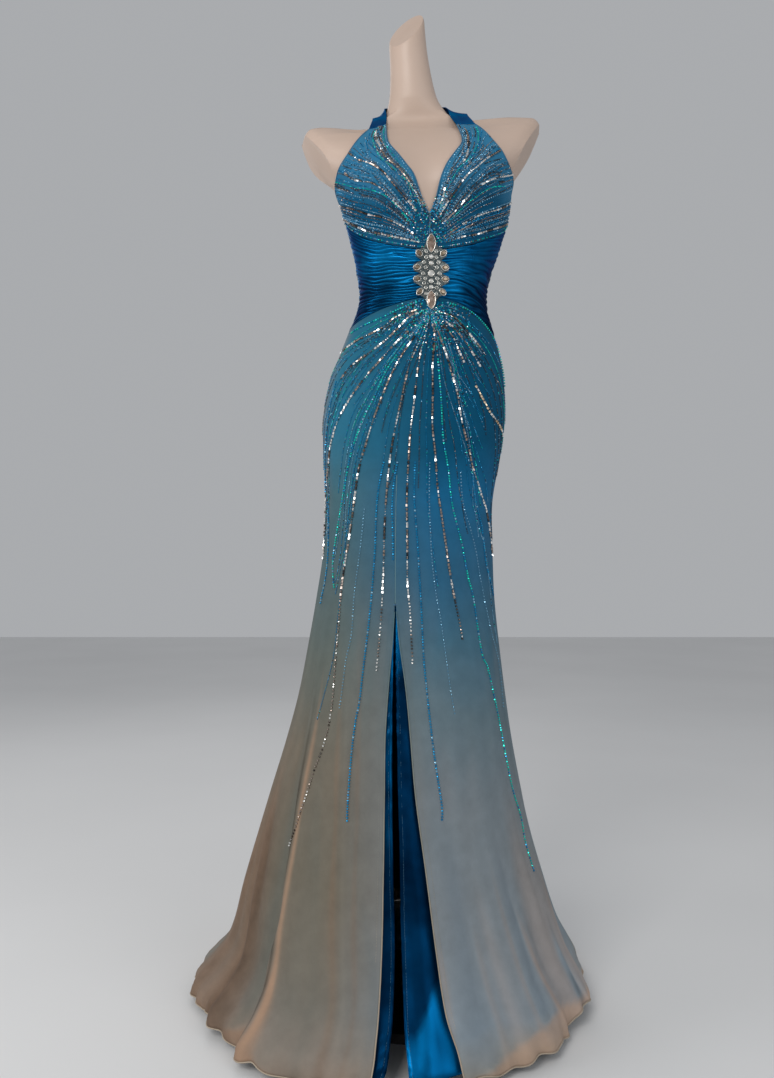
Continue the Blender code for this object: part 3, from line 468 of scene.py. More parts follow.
def addNode(material, kind, inputs=None, **settings):
    node = material.node_tree.nodes.new(kind)
    for name, value in settings.items():
        setattr(node, name, value)
    for name, value in (inputs or {}).items():
        if isinstance(value, bpy.types.NodeSocket):
            material.node_tree.links.new(value, node.inputs[name])
        else:
            node.inputs[name].default_value = value
    return node


def mixColours(material, factor, first, second, blendType="MIX"):
    node = addNode(
        material, "ShaderNodeMix", {0: factor, 6: first, 7: second}, data_type="RGBA", blend_type=blendType
    )
    return node.outputs[2]


def colourRamp(material, factor, stops):
    node = addNode(material, "ShaderNodeValToRGB", {"Fac": factor})
    ramp = node.color_ramp
    while len(ramp.elements) < len(stops):
        ramp.elements.new(0.5)
    for element, (place, colour) in zip(ramp.elements, stops):
        element.position = place
        element.color = (*colour, 1.0)
    return node.outputs["Color"]


def noiseValue(material, coords, scale, detail=2.0, roughness=0.5):
    inputs = {"Vector": coords, "Scale": scale, "Detail": detail, "Roughness": roughness}
    return addNode(material, "ShaderNodeTexNoise", inputs).outputs["Fac"]


def bandValue(material, coords, scale, distortion, direction):
    inputs = {"Vector": coords, "Scale": scale, "Distortion": distortion}
    node = addNode(material, "ShaderNodeTexWave", inputs, wave_type="BANDS", bands_direction=direction)
    return node.outputs["Fac"]


def rangeOf(material, value, low, high, newLow=0.0, newHigh=1.0):
    inputs = {"Value": value, "From Min": low, "From Max": high, "To Min": newLow, "To Max": newHigh}
    return addNode(material, "ShaderNodeMapRange", inputs).outputs["Result"]


def sumOf(material, first, second):
    return addNode(material, "ShaderNodeMath", {0: first, 1: second}, operation="ADD").outputs["Value"]


def attributeValue(material, name):
    return addNode(material, "ShaderNodeAttribute", attribute_name=name).outputs["Fac"]


def addBump(material, shader, strength, distance, height):
    bump = addNode(
        material, "ShaderNodeBump", {"Strength": strength, "Distance": distance, "Height": height}
    )
    material.node_tree.links.new(bump.outputs["Normal"], shader.inputs["Normal"])


def newMaterial(name, **sockets):
    material = bpy.data.materials.new(name)
    material.use_nodes = True
    shader = material.node_tree.nodes["Principled BSDF"]
    for socket, value in sockets.items():
        shader.inputs[socket.replace("_", " ")].default_value = value
    coords = addNode(material, "ShaderNodeTexCoord").outputs["Object"]
    return material, shader, coords


def plainFinish(name, colour, otherColour, patch, roughness, grain, grainDepth, metallic=0.0, coat=0.0):
    # two close colours in patches, an uneven gloss and a fine grain
    material, shader, coords = newMaterial(name, Metallic=metallic, Coat_Weight=coat)
    links = material.node_tree.links
    patches = noiseValue(material, coords, patch, 3.0)
    share = rangeOf(material, patches, 0.35, 0.65)
    colours = mixColours(material, share, (*colour, 1.0), (*otherColour, 1.0))
    links.new(colours, shader.inputs["Base Color"])
    links.new(rangeOf(material, patches, 0.3, 0.7, *roughness), shader.inputs["Roughness"])
    addBump(material, shader, 0.5, grainDepth, noiseValue(material, coords, grain))
    return material


dyes = {
    "peach": (0.34, 0.21, 0.135, 1.0),
    "leftGrey": (0.118, 0.128, 0.112, 1.0),
    "rightGrey": (0.085, 0.150, 0.215, 1.0),
    "strength": 0.75,
}


def chiffonFinish(name, leftStops, rightStops, sides, top):
    # a sheer weave dyed in bands of height, warmer on the ridges and bluer where it lies on the lining, made
    # lighter or darker by random clouds and by painted shade and highlight along its folds
    material, shader, coords = newMaterial(
        name, Roughness=0.7, Sheen_Weight=0.03, Sheen_Roughness=0.5, Specular_IOR_Level=0.06
    )
    parts = addNode(material, "ShaderNodeSeparateXYZ", {"Vector": coords})
    wander = rangeOf(material, noiseValue(material, coords, 5.0, 3.0), 0.3, 0.7, -0.035, 0.035)
    height = rangeOf(material, sumOf(material, parts.outputs["Z"], wander), 0.0, top)
    side = rangeOf(material, parts.outputs["X"], *sides)
    colour = mixColours(
        material, side, colourRamp(material, height, leftStops), colourRamp(material, height, rightStops)
    )
    warmth = attributeValue(material, "warmth")
    warm = rangeOf(material, warmth, 0.0, 1.0, 0.0, dyes["strength"])
    colour = mixColours(material, warm, colour, dyes["peach"])
    grey = mixColours(material, side, dyes["leftGrey"], dyes["rightGrey"])
    cool = rangeOf(material, warmth, 0.0, -1.0, 0.0, dyes["strength"])
    colour = mixColours(material, cool, colour, grey)
    cloudy = rangeOf(material, noiseValue(material, coords, 38.0, 4.0, 0.6), 0.3, 0.7, 0.92, 1.06)
    # the shading attribute adds painted shade and highlight along the folds, over random clouds
    shade = sumOf(material, cloudy, attributeValue(material, "toneAndPaintedShade"))
    shades = addNode(material, "ShaderNodeCombineColor", {"Red": shade, "Green": shade, "Blue": shade})
    colour = mixColours(material, 1.0, colour, shades.outputs["Color"], "MULTIPLY")
    material.node_tree.links.new(colour, shader.inputs["Base Color"])
    crepe = noiseValue(material, coords, 900.0, 2.0)
    weave = sumOf(material, bandValue(material, coords, 420.0, 1.5, "Z"), crepe)
    addBump(material, shader, 0.35, 0.0002, weave)
    return material


def satinFinish(name, deep, paintedSheenColour, patch, paintedHighlight):
    # close shiny weave, with painted sheen in brighter random patches, and a painted highlight and painted
    # shade in the valleys, both from attributes on the points
    material, shader, coords = newMaterial(
        name, Metallic=0.85, Specular_IOR_Level=0.3, Specular_Tint=(0.0, 0.30, 0.45, 1.0)
    )
    links = material.node_tree.links
    patches = noiseValue(material, coords, patch, 3.0, 0.6)
    # painted sheen: random patches turn the satin from its deep colour to a brighter one
    colour = mixColours(material, rangeOf(material, patches, 0.35, 0.68), (*deep, 1.0), (*paintedSheenColour, 1.0))
    # painted highlight from one attribute, then painted shade from another, darkest in the fold valleys
    colour = mixColours(material, attributeValue(material, "paintedHighlight"), colour, (*paintedHighlight, 1.0))
    paintedShade = rangeOf(material, attributeValue(material, "paintedShade"), 0.0, 1.0, 0.0, 0.92)
    colour = mixColours(material, paintedShade, colour, (0.0003, 0.010, 0.032, 1.0))
    links.new(colour, shader.inputs["Base Color"])
    links.new(rangeOf(material, patches, 0.3, 0.7, 0.26, 0.38), shader.inputs["Roughness"])
    addBump(material, shader, 0.25, 0.0001, bandValue(material, coords, 700.0, 2.0, "DIAGONAL"))
    return material


# Colours of the cloths: share of the height, colour
skirtLeftStops = (
    (0.000, (0.262, 0.200, 0.155)),
    (0.030, (0.212, 0.184, 0.156)),
    (0.075, (0.166, 0.152, 0.128)),
    (0.200, (0.148, 0.130, 0.100)),
    (0.350, (0.144, 0.126, 0.098)),
    (0.500, (0.106, 0.125, 0.114)),
    (0.620, (0.062, 0.114, 0.132)),
    (0.700, (0.052, 0.126, 0.156)),
    (0.790, (0.022, 0.142, 0.230)),
    (1.000, (0.022, 0.140, 0.210)),
)
skirtRightStops = (
    (0.000, (0.300, 0.260, 0.215)),
    (0.025, (0.265, 0.255, 0.230)),
    (0.070, (0.222, 0.262, 0.294)),
    (0.190, (0.202, 0.228, 0.246)),
    (0.330, (0.160, 0.198, 0.222)),
    (0.410, (0.118, 0.172, 0.200)),
    (0.500, (0.054, 0.134, 0.192)),
    (0.590, (0.026, 0.110, 0.196)),
    (0.690, (0.008, 0.112, 0.240)),
    (0.770, (0.001, 0.066, 0.138)),
    (1.000, (0.001, 0.064, 0.132)),
)
rollStops = (
    (0.000, (0.400, 0.330, 0.255)),
    (0.120, (0.320, 0.280, 0.225)),
    (0.300, (0.210, 0.215, 0.190)),
    (0.450, (0.120, 0.165, 0.170)),
    (0.560, (0.066, 0.142, 0.180)),
    (1.000, (0.050, 0.130, 0.180)),
)
# the cup chiffon stays dark up to the bust and turns lighter just above it: painted shade under the bust and
# painted light above
cupPaintedShadeStops = (
    (0.000, (0.001, 0.062, 0.135)),
    (0.870, (0.003, 0.070, 0.148)),
    (0.905, (0.028, 0.165, 0.300)),
    (1.000, (0.036, 0.180, 0.310)),
)
finishes = {
    "chiffon": chiffonFinish("ombreChiffon", skirtLeftStops, skirtRightStops, (-0.13, 0.03), 1.25),
    "cupChiffon": chiffonFinish("blueChiffon", cupPaintedShadeStops, cupPaintedShadeStops, (-0.17, 0.08), 1.55),
    "satin": satinFinish(
        "royalSatin", (0.001, 0.085, 0.230), (0.003, 0.165, 0.400), 22.0, (0.003, 0.20, 0.45)
    ),
    # the lining's two blues are kept very dark, painted shade for satin lying in shadow inside the skirt, and
    # its last colour is the painted highlight for its lit places
    "liningSatin": satinFinish(
        "liningSatin", (0.0004, 0.012, 0.040), (0.0008, 0.036, 0.108), 9.0, (0.001, 0.125, 0.330)
    ),
    "hemRoll": chiffonFinish("paleHemRoll", rollStops, rollStops, (-0.13, 0.03), 1.25),
}
# Name, colour, other colour, patch scale, roughness, grain scale, grain depth, metal, coat
for row in (
    ("blueThread", (0.03, 0.11, 0.2), (0.05, 0.15, 0.24), 60.0, (0.5, 0.7), 1500.0, 0.0001),
    ("formSkin", (0.51, 0.388, 0.318), (0.485, 0.365, 0.292), 7.0, (0.42, 0.52), 320.0, 0.0001),
    ("silver", (0.78, 0.77, 0.73), (0.62, 0.6, 0.56), 90.0, (0.16, 0.3), 700.0, 0.0001, 1.0),
    ("crystal", (0.92, 0.92, 0.9), (0.5, 0.5, 0.48), 230.0, (0.03, 0.08), 20.0, 0.00002, 0.35, 1.0),
    ("steel", (0.1, 0.1, 0.105), (0.07, 0.07, 0.075), 25.0, (0.45, 0.55), 900.0, 0.0001, 1.0),
    ("blackPaint", (0.018, 0.018, 0.02), (0.028, 0.028, 0.03), 12.0, (0.4, 0.55), 500.0, 0.0001),
    ("silverBead", (0.98, 0.98, 0.96), (0.82, 0.8, 0.76), 160.0, (0.12, 0.25), 50.0, 0.00002, 1.0),
    ("darkBead", (0.07, 0.065, 0.065), (0.14, 0.11, 0.09), 160.0, (0.08, 0.2), 50.0, 0.00002, 0.9),
    ("taupeBead", (0.42, 0.35, 0.31), (0.26, 0.21, 0.18), 160.0, (0.1, 0.25), 50.0, 0.00002, 0.9),
    ("champagneStone", (0.52, 0.4, 0.33), (0.22, 0.14, 0.09), 110.0, (0.03, 0.08), 20.0, 0.00002, 0.8, 1.0),
    ("oliveStone", (0.15, 0.095, 0.05), (0.34, 0.27, 0.19), 150.0, (0.03, 0.08), 20.0, 0.00002, 0.6, 1.0),
    ("greyStone", (0.56, 0.6, 0.58), (0.12, 0.16, 0.16), 170.0, (0.03, 0.08), 20.0, 0.00002, 0.6, 1.0),
    ("darkSilver", (0.13, 0.15, 0.15), (0.04, 0.055, 0.06), 260.0, (0.3, 0.45), 700.0, 0.0002, 1.0),
    ("seamThread", (0.1, 0.21, 0.24), (0.14, 0.24, 0.26), 30.0, (0.5, 0.7), 1500.0, 0.0001),
    ("champagneBead", (0.82, 0.7, 0.52), (0.64, 0.47, 0.3), 160.0, (0.1, 0.22), 50.0, 0.00002, 0.9),
    ("emeraldBead", (0.0, 0.62, 0.46), (0.0, 0.34, 0.4), 160.0, (0.1, 0.22), 50.0, 0.00002, 0.5),
    ("blueBead", (0.0, 0.15, 0.35), (0.0, 0.26, 0.5), 160.0, (0.1, 0.22), 50.0, 0.00002, 0.5),
    ("clearBead", (0.26, 0.5, 0.66), (0.1, 0.28, 0.44), 160.0, (0.08, 0.2), 50.0, 0.00002, 0.5),
):
    finishes[row[0]] = plainFinish(*row)
print("finishes ready")


# Skirt overlay: four chiffon panels, with a rolled hem and soft creases
overlay = {
    "frontColumns": 150,
    "backColumns": 100,
    "lowRows": 102,
    "closingRows": 16,
    "hemWaves": ((17.0, 0.0046), (43.0, 0.0040), (71.0, 0.0024)),
    "hemReach": 0.060,
    "rollRadius": 0.0011,
    "rollPitch": 0.004,
    "rollEnd": 0.012,
}
# Creases laid over the long folds: hem angle, middle angle, top angle, top height, depth, width
overlayCreases = (
    (-19.0, -23.0, -42.0, 0.69, 0.0016, 2.4),
    (-12.0, -15.0, -28.0, 0.69, -0.0014, 2.0),
    (-7.0, -9.0, -14.0, 0.40, 0.0012, 2.2),
    (-27.0, -31.0, -47.0, 0.60, -0.0018, 2.6),
    (-34.0, -37.0, -50.0, 0.52, 0.0016, 2.2),
    (-52.0, -62.0, -72.0, 0.44, -0.0034, 2.8),
    (-58.0, -68.0, -78.0, 0.40, 0.0030, 2.6),
    (-73.0, -78.0, -84.0, 0.36, -0.0028, 2.6),
    (-88.0, -89.0, -91.0, 0.42, 0.0024, 2.4),
    (17.0, 17.0, 14.0, 0.42, 0.0012, 2.6),
    (24.0, 23.0, 20.0, 0.50, -0.0014, 2.4),
    (37.0, 34.0, 30.0, 0.44, 0.0016, 2.4),
    (49.0, 46.0, 42.0, 0.40, -0.0024, 2.4),
    (63.0, 60.0, 56.0, 0.42, 0.0026, 2.2),
    (68.0, 70.0, 66.0, 0.20, -0.0040, 1.8),
    (77.0, 76.0, 74.0, 0.44, 0.0022, 2.4),
    (91.0, 90.0, 88.0, 0.46, -0.0024, 2.4),
    (111.0, 108.0, 104.0, 0.56, 0.0026, 2.6),
    (127.0, 124.0, 119.0, 0.50, -0.0024, 2.4),
    (142.0, 139.0, 136.0, 0.58, 0.0028, 2.4),
    (159.0, 157.0, 153.0, 0.52, -0.0022, 2.6),
    (175.0, 174.0, 172.0, 0.60, 0.0026, 2.4),
    (192.0, 192.0, 190.0, 0.54, 0.0024, 2.4),
    (209.0, 210.0, 210.0, 0.60, -0.0026, 2.6),
    (226.0, 228.0, 229.0, 0.52, -0.0022, 2.4),
    (242.0, 245.0, 247.0, 0.58, 0.0026, 2.4),
    (258.0, 259.0, 261.0, 0.46, 0.0022, 2.4),
)
# The deep fold on the left, where the front lies out over the side: height, angle
deepFold = np.array((
    (0.000, -43.0), (0.042, -43.5), (0.078, -44.5), (0.133, -46.0), (0.194, -44.0),
    (0.255, -45.5), (0.354, -48.0), (0.451, -53.0), (0.564, -57.0), (0.700, -62.0),
))
deepFoldDepth = {"depth": 0.0095, "width": 0.8, "reach": 13.0}
# Warm and cool bands of colour: hem angle, middle angle, top angle, top height, width, warmth
overlayBands = (
    (-40.4, -43.4, -51.8, 0.66, 1.3, 0.80),
    (-37.4, -40.4, -47.0, 0.16, 2.0, 0.60),
    (-48.5, -50.5, -58.0, 0.62, 3.2, -0.75),
    (-62.0, -68.0, -78.0, 0.46, 8.0, 1.00),
    (-80.0, -83.0, -88.0, 0.40, 8.0, 0.85),
    (-18.0, -26.0, -44.0, 0.72, 1.4, 0.26),
    (-12.0, -17.0, -30.0, 0.72, 1.2, 0.22),
    (-32.0, -35.0, -47.0, 0.60, 3.4, -0.22),
    (-24.0, -30.0, -42.0, 0.50, 2.2, -0.25),
    (-7.0, -8.0, -14.0, 0.30, 1.6, -0.30),
    (15.0, 14.0, 10.0, 0.26, 1.6, 0.30),
    (31.0, 28.0, 26.0, 0.24, 1.6, 0.26),
    (43.0, 40.0, 37.0, 0.34, 1.2, 0.30),
    (24.0, 22.0, 18.0, 0.42, 5.0, -0.28),
    (36.0, 33.0, 30.0, 0.30, 2.4, 0.22),
    (47.0, 44.0, 40.0, 0.36, 4.0, -0.30),
    (58.0, 50.0, 44.0, 0.26, 1.6, 0.45),
    (66.0, 67.0, 66.0, 0.16, 2.0, -0.50),
    (77.0, 76.0, 74.0, 0.30, 7.0, 0.50),
    (62.0, 60.0, 58.0, 0.42, 9.0, 0.42),
    (118.0, 114.0, 110.0, 0.50, 6.0, -0.35),
    (134.0, 130.0, 128.0, 0.55, 5.0, 0.30),
    (150.0, 147.0, 145.0, 0.52, 5.0, -0.35),
    (167.0, 165.0, 163.0, 0.55, 5.0, 0.28),
    (184.0, 182.0, 181.0, 0.52, 5.0, -0.35),
    (201.0, 200.0, 200.0, 0.55, 5.0, 0.30),
    (218.0, 219.0, 220.0, 0.52, 5.0, -0.35),
    (234.0, 237.0, 238.0, 0.55, 5.0, 0.30),
    (250.0, 253.0, 255.0, 0.50, 5.0, -0.30),
)
# Darker and lighter bands, mostly painted shade and highlight along the creases, the deep fold and the tuck
# at the hem, with a few broad lighter and darker patches: hem angle, middle angle, top angle, top height,
# width, amount
overlayToneAndShadeBands = (
    (-60.0, -66.0, -76.0, 0.46, 9.0, -0.56),
    (-80.0, -83.0, -88.0, 0.40, 8.0, -0.36),
    (-40.2, -43.2, -51.6, 0.62, 1.2, 0.12),
    (-43.0, -45.6, -55.6, 0.62, 0.7, -0.55),
    (-18.0, -26.0, -44.0, 0.72, 1.2, -0.10),
    (-15.0, -22.0, -38.0, 0.70, 1.0, 0.08),
    (-12.0, -17.0, -30.0, 0.72, 1.1, -0.09),
    (57.0, 49.0, 43.0, 0.28, 1.2, 0.12),
    (61.0, 54.0, 47.0, 0.26, 1.4, -0.10),
    (67.0, 67.0, 66.0, 0.10, 1.6, -0.42),
    (70.5, 70.0, 69.0, 0.10, 1.2, 0.22),
    (78.0, 78.0, 76.0, 0.20, 8.0, 0.28),
    (62.0, 60.0, 58.0, 0.32, 9.0, 0.13),
    (30.5, 27.5, 25.0, 0.24, 0.9, 0.09),
    (15.5, 14.5, 11.0, 0.24, 0.9, 0.08),
    (36.0, 33.0, 30.0, 0.30, 1.4, 0.08),
    (40.0, 37.0, 33.0, 0.32, 1.6, -0.08),
)
# The chiffon below the lining's lower edge, where it looks peach: angle, top of the band
peachTop = np.array((
    (-180.0, 0.030), (-120.0, 0.030), (-95.0, 0.020), (-70.0, 0.016), (-56.0, 0.020), (-44.0, 0.040),
    (-37.0, 0.026), (-28.0, 0.012), (-15.0, 0.004), (5.0, 0.004), (15.0, 0.014), (29.0, 0.029),
    (42.0, 0.049), (63.0, 0.043), (77.0, 0.030), (95.0, 0.026), (180.0, 0.030),
))


def handLaid(rows, angle, height):
    # sum of narrow bands that bend through three angles on their way down
    total = 0.0
    for hemAngle, middleAngle, topAngle, topHeight, amount, width in rows:
        fall = np.clip((topHeight - height) / topHeight, 0.0, 1.0)
        lower = blend(middleAngle, hemAngle, fall * 2.0 - 1.0)
        upper = blend(topAngle, middleAngle, fall * 2.0)
        middle = np.where(fall > 0.5, lower, upper)
        away = wrapped(angle - middle) / width
        total = total + amount * smoothStep(fall * 2.2) * np.exp(-away * away)
    return total


def overlayFolds(angle, height):
    total = foldDepth(angle, height) + handLaid(overlayCreases, angle, height)
    fall = np.clip((cloth["slitTop"] - height) / cloth["slitTop"], 0.0, 1.0)
    away = wrapped(angle - smoothAt(deepFold, 1, height))
    side = np.tanh(away / deepFoldDepth["width"])
    near = np.exp(-((away / deepFoldDepth["reach"]) ** 2))
    total = total + deepFoldDepth["depth"] * fall ** 0.8 * side * near
    share = np.clip(1.0 - height / overlay["hemReach"], 0.0, 1.0) ** 1.3
    swing = angle + 3.0 * np.sin(np.radians(angle * 5.0))
    for count, depth in overlay["hemWaves"]:
        total = total + depth * share * np.sin(np.radians(swing) * count)
    return total


hemEdge = {
    "lift": 0.0055,
    # waves round the edge, height, shift
    "waves": ((17.0, 0.0035, 0.8), (43.0, 0.0020, 0.0)),
    "tuckAngle": 66.0,
    "tuckWidth": 5.0,
    "tuck": 0.012,
    "backAngle": 92.0,
    "backHeight": 0.0006,
}


def hemRise(angle):
    # the lower edge lifts and dips a little between its waves in front, and lies on the floor behind
    swing = np.radians(angle + 4.0 * np.sin(np.radians(angle * 3.0)))
    lift = hemEdge["lift"]
    for count, depth, shift in hemEdge["waves"]:
        lift = lift + depth * np.sin(swing * count + shift)
    tuck = hemEdge["tuck"] * np.exp(-((wrapped(angle - hemEdge["tuckAngle"]) / hemEdge["tuckWidth"]) ** 2))
    behind = smoothStep((np.abs(wrapped(angle)) - hemEdge["backAngle"]) / 20.0)
    lift = np.maximum(lift, 0.0) * (1.0 - 0.97 * behind)
    return cloth["hemHeight"] - (cloth["hemHeight"] - hemEdge["backHeight"]) * behind + lift + tuck


def edgeAngle(layer, side, height):
    # angle of a front panel's edge at the slit, or at the centre seam above it
    column = slitColumns[layer + side]
    across = np.where(
        height < cloth["slitTop"], smoothAt(slit, column, height), smoothAt(centreSeam, 1, height)
    )
    gap = np.degrees(cloth["seamGap"] / 2.0 / sliceAt("half", height))
    return angleAt(across, height) + (gap if side == "Right" else -gap)


def panelAngles(layer, name, height):
    gap = np.degrees(cloth["seamGap"] / 2.0 / sliceAt("half", height))
    side = cloth["sideAngle"]
    if name == "FrontLeft":
        return -side + gap, edgeAngle(layer, "Left", height)
    if name == "FrontRight":
        return edgeAngle(layer, "Right", height), side - gap
    if name == "BackRight":
        return side + gap, 180.0 - gap
    if name == "BackLeft":
        return 180.0 + gap, 360.0 - side - gap
    return side + gap, 360.0 - side - gap


def panelGrid(layer, name, columns, lowRows, closingRows, hem):
    # angles and heights of a panel's points, from the hem to the seam at the top
    across = np.linspace(0.0, 1.0, columns + 1)
    angles = []
    heights = []
    closing = cloth["closingHeight"]
    for share in np.linspace(0.0, 1.0, lowRows + 1) ** 1.15:
        guide = blend(cloth["hemHeight"], closing, share)
        start, end = panelAngles(layer, name, guide)
        angle = blend(start, end, across)
        angles.append(angle)
        heights.append(blend(hem(angle), closing, share))
    for index in range(1, closingRows + 1):
        share = index / closingRows
        guide = blend(closing, seamHeight("skirtTop", 0.0), share)
        start, end = panelAngles(layer, name, guide)
        angle = blend(start, end, across)
        angles.append(angle)
        heights.append(blend(closing, seamHeight("skirtTop", angle) - cloth["seamGap"], share))
    return np.array(angles), np.array(heights)


overlayShades = {
    "hipAngle": -58.0,
    "hipEnd": -130.0,
    "hipWarmth": 0.36,
    "dyeTop": 0.86,
    "peachWarmth": 0.8,
    "peachLeft": -0.06,
    "peachRight": 0.22,
    "patchWarmth": 0.10,
    "patchTone": 0.05,
    "foldPaintedShade": 0.30,
    "foldAway": 0.7,
    "foldWidth": 0.75,
}


def overlayColours(angles, heights):
    # warm and cool places of the dye, and how light each place is: random patches, the peach band, and
    # painted shade and highlight along the creases and the deep fold
    shades = overlayShades
    around = wrapped(angles)
    warmth = handLaid([(*row[:4], row[5], row[4]) for row in overlayBands], angles, heights)
    warmth = warmth + shades["patchWarmth"] * unevenness(angles / 9.0, heights * 9.0, 5)
    warmth = np.clip(warmth, -1.0, 1.0) * smoothStep((shades["dyeTop"] - heights) / 0.25)
    hip = smoothStep((shades["hipAngle"] - around) / 24.0) * smoothStep((around - shades["hipEnd"]) / 24.0)
    hip = shades["hipWarmth"] * hip * smoothStep((heights - 0.76) / 0.14)
    warmth = warmth + hip * smoothStep((1.20 - heights) / 0.06)
    peach = smoothStep((smoothAt(peachTop, 1, around) - heights) / 0.010 + 0.5)
    warmth = blend(warmth, 1.0, peach * shades["peachWarmth"])
    toneAndPaintedShade = handLaid([(*row[:4], row[5], row[4]) for row in overlayToneAndShadeBands], angles, heights)
    peachTone = blend(shades["peachLeft"], shades["peachRight"], smoothStep((around - 8.0) / 20.0))
    toneAndPaintedShade = toneAndPaintedShade + peach * peachTone
    patches = shades["patchTone"] * unevenness(angles / 6.0, heights * 5.0, 9)
    toneAndPaintedShade = toneAndPaintedShade + patches * smoothStep((0.9 - heights) / 0.3)
    # a painted shadow: a narrow dark line just beside the deep fold, fading out above
    behind = wrapped(angles - smoothAt(deepFold, 1, heights)) + shades["foldAway"]
    shadow = shades["foldPaintedShade"] * np.exp(-((behind / shades["foldWidth"]) ** 2))
    toneAndPaintedShade = toneAndPaintedShade - shadow * smoothStep((0.66 - heights) / 0.3)
    return {"warmth": warmth, "toneAndPaintedShade": toneAndPaintedShade}


overlayEdges = {}
for name, node in (
    ("FrontLeft", "skirt_front_left"),
    ("FrontRight", "skirt_front_right"),
    ("BackRight", "skirt_back_right"),
    ("BackLeft", "skirt_back_left"),
):
    angles, heights = panelGrid(
        "overlay", name, overlay["frontColumns" if "Front" in name else "backColumns"],
        overlay["lowRows"], overlay["closingRows"], hemRise,
    )
    points = facePoints(angles, heights, cloth["overlayFace"], overlayFolds)
    piece = clothGrid("overlay" + name, points, attributes=overlayColours(angles, heights))
    finished(piece, finishes["chiffon"], "chiffon", node)
    overlayEdges[name] = points
print("overlay ready")


# the rolled lower edges and slit edges
edgeHeights = overlayEdges["FrontLeft"][: overlay["lowRows"] + 1, -1, 2]
slitTopRow = int(np.argmin(np.abs(edgeHeights - (cloth["slitTop"] - overlay["rollEnd"]))))
rollLines = [points[0] for points in overlayEdges.values()]
rollLines += [overlayEdges["FrontLeft"][:slitTopRow, -1], overlayEdges["FrontRight"][:slitTopRow, 0]]
rollPaths = [evenPath(line, overlay["rollPitch"]) for line in rollLines]
hemRoll = tubeAlong("overlayHemRoll", rollPaths, overlay["rollRadius"], 2)
finished(hemRoll, finishes["hemRoll"], "chiffon")


# Skirt lining: three satin panels with a stitched, puckered slit edge
lining = {
    "frontColumns": 72,
    "backColumns": 60,
    "lowRows": 130,
    "closingRows": 8,
    "drop": 0.012,
    "hemFront": 0.014,
    "hemBack": 0.050,
    "puckerPitch": 0.017,
    "puckerDepth": 0.0013,
    "puckerReach": 0.020,
    "upperPaintedHighlight": 0.9,
    "ripplePaintedHighlight": 0.6,
}
# Creases of the lining: hem angle, middle angle, top angle, top height, depth, width
liningCreases = (
    (-22.0, -24.0, -30.0, 0.50, 0.0030, 3.0),
    (-14.0, -14.0, -17.0, 0.40, -0.0035, 2.4),
    (-8.0, -9.0, -12.0, 0.60, 0.0024, 1.6),
    (1.0, 1.0, -2.0, 0.52, 0.0018, 1.6),
    (5.0, 4.0, 0.0, 0.40, -0.0016, 1.7),
    (9.0, 8.0, 3.0, 0.46, 0.0016, 2.0),
    (14.0, 13.0, 8.0, 0.36, -0.0020, 2.2),
    (24.0, 24.0, 20.0, 0.44, 0.0030, 3.0),
    (110.0, 108.0, 106.0, 0.50, 0.0040, 4.0),
    (140.0, 138.0, 137.0, 0.50, -0.0040, 4.0),
    (172.0, 171.0, 170.0, 0.50, 0.0040, 4.0),
    (215.0, 216.0, 216.0, 0.50, -0.0040, 4.0),
    (244.0, 246.0, 246.0, 0.50, 0.0040, 4.0),
)


def liningFolds(angle, height):
    return 0.5 * foldDepth(angle, height) + handLaid(liningCreases, angle, height)


def liningHem(angle):
    turned = smoothStep((np.abs(wrapped(angle) + 3.0) - 8.0) / 36.0)
    return blend(lining["hemFront"], lining["hemBack"], turned)


def liningOut(angles, heights, slitSide):
    fall = np.clip((cloth["slitTop"] - heights) / cloth["slitTop"], 0.0, 1.0)
    out = cloth["liningFace"] - lining["drop"] * fall
    soft = smoothStep(fall * 3.0)
    out = out + 0.0016 * soft * unevenness(angles / 5.0, heights * 26.0, 11)
    if slitSide is not None:
        # the seam along the slit draws the satin into small slanting puckers
        edge = angles[:, slitSide][:, None]
        reach = np.radians(np.abs(angles - edge)) * sliceAt("half", heights)
        near = np.exp(-((reach / lining["puckerReach"]) ** 2)) * smoothStep(fall * 6.0)
        phase = (heights + 0.6 * reach) / lining["puckerPitch"]
        phase = phase + 0.5 * unevenness(heights * 22.0, heights * 3.0, 17)
        out = out + lining["puckerDepth"] * near * np.sin(math.tau * phase)
    return out


def liningPaintedHighlight(angles, heights, isLeft):
    # painted highlight on the satin near the floor and along the slit, with rippling painted highlight on the
    # left panel
    peak = np.where(angles > -8.0, 0.128 - 0.0064 * np.abs(angles - 13.0), 0.066)
    peak = peak + 0.007 * unevenness(angles / 1.5, heights * 12.0, 29)
    patchy = 0.72 + 0.5 * unevenness(angles / 2.2, heights * 44.0, 23)
    paintedHighlight = smoothStep((peak - heights) / 0.024 + 0.5) * patchy
    nearSlit = np.exp(-(((angles + 2.0) / 10.0) ** 2))
    paintedHighlight = paintedHighlight + lining["upperPaintedHighlight"] * nearSlit * smoothStep((heights - 0.57) / 0.10)
    if isLeft:
        ripple = 0.5 + 0.8 * unevenness(angles / 2.0, heights * 60.0, 37)
        paintedHighlight = paintedHighlight + lining["ripplePaintedHighlight"] * nearSlit * ripple * smoothStep((heights - 0.26) / 0.16)
    return {"paintedHighlight": np.clip(paintedHighlight, 0.0, 1.0)}


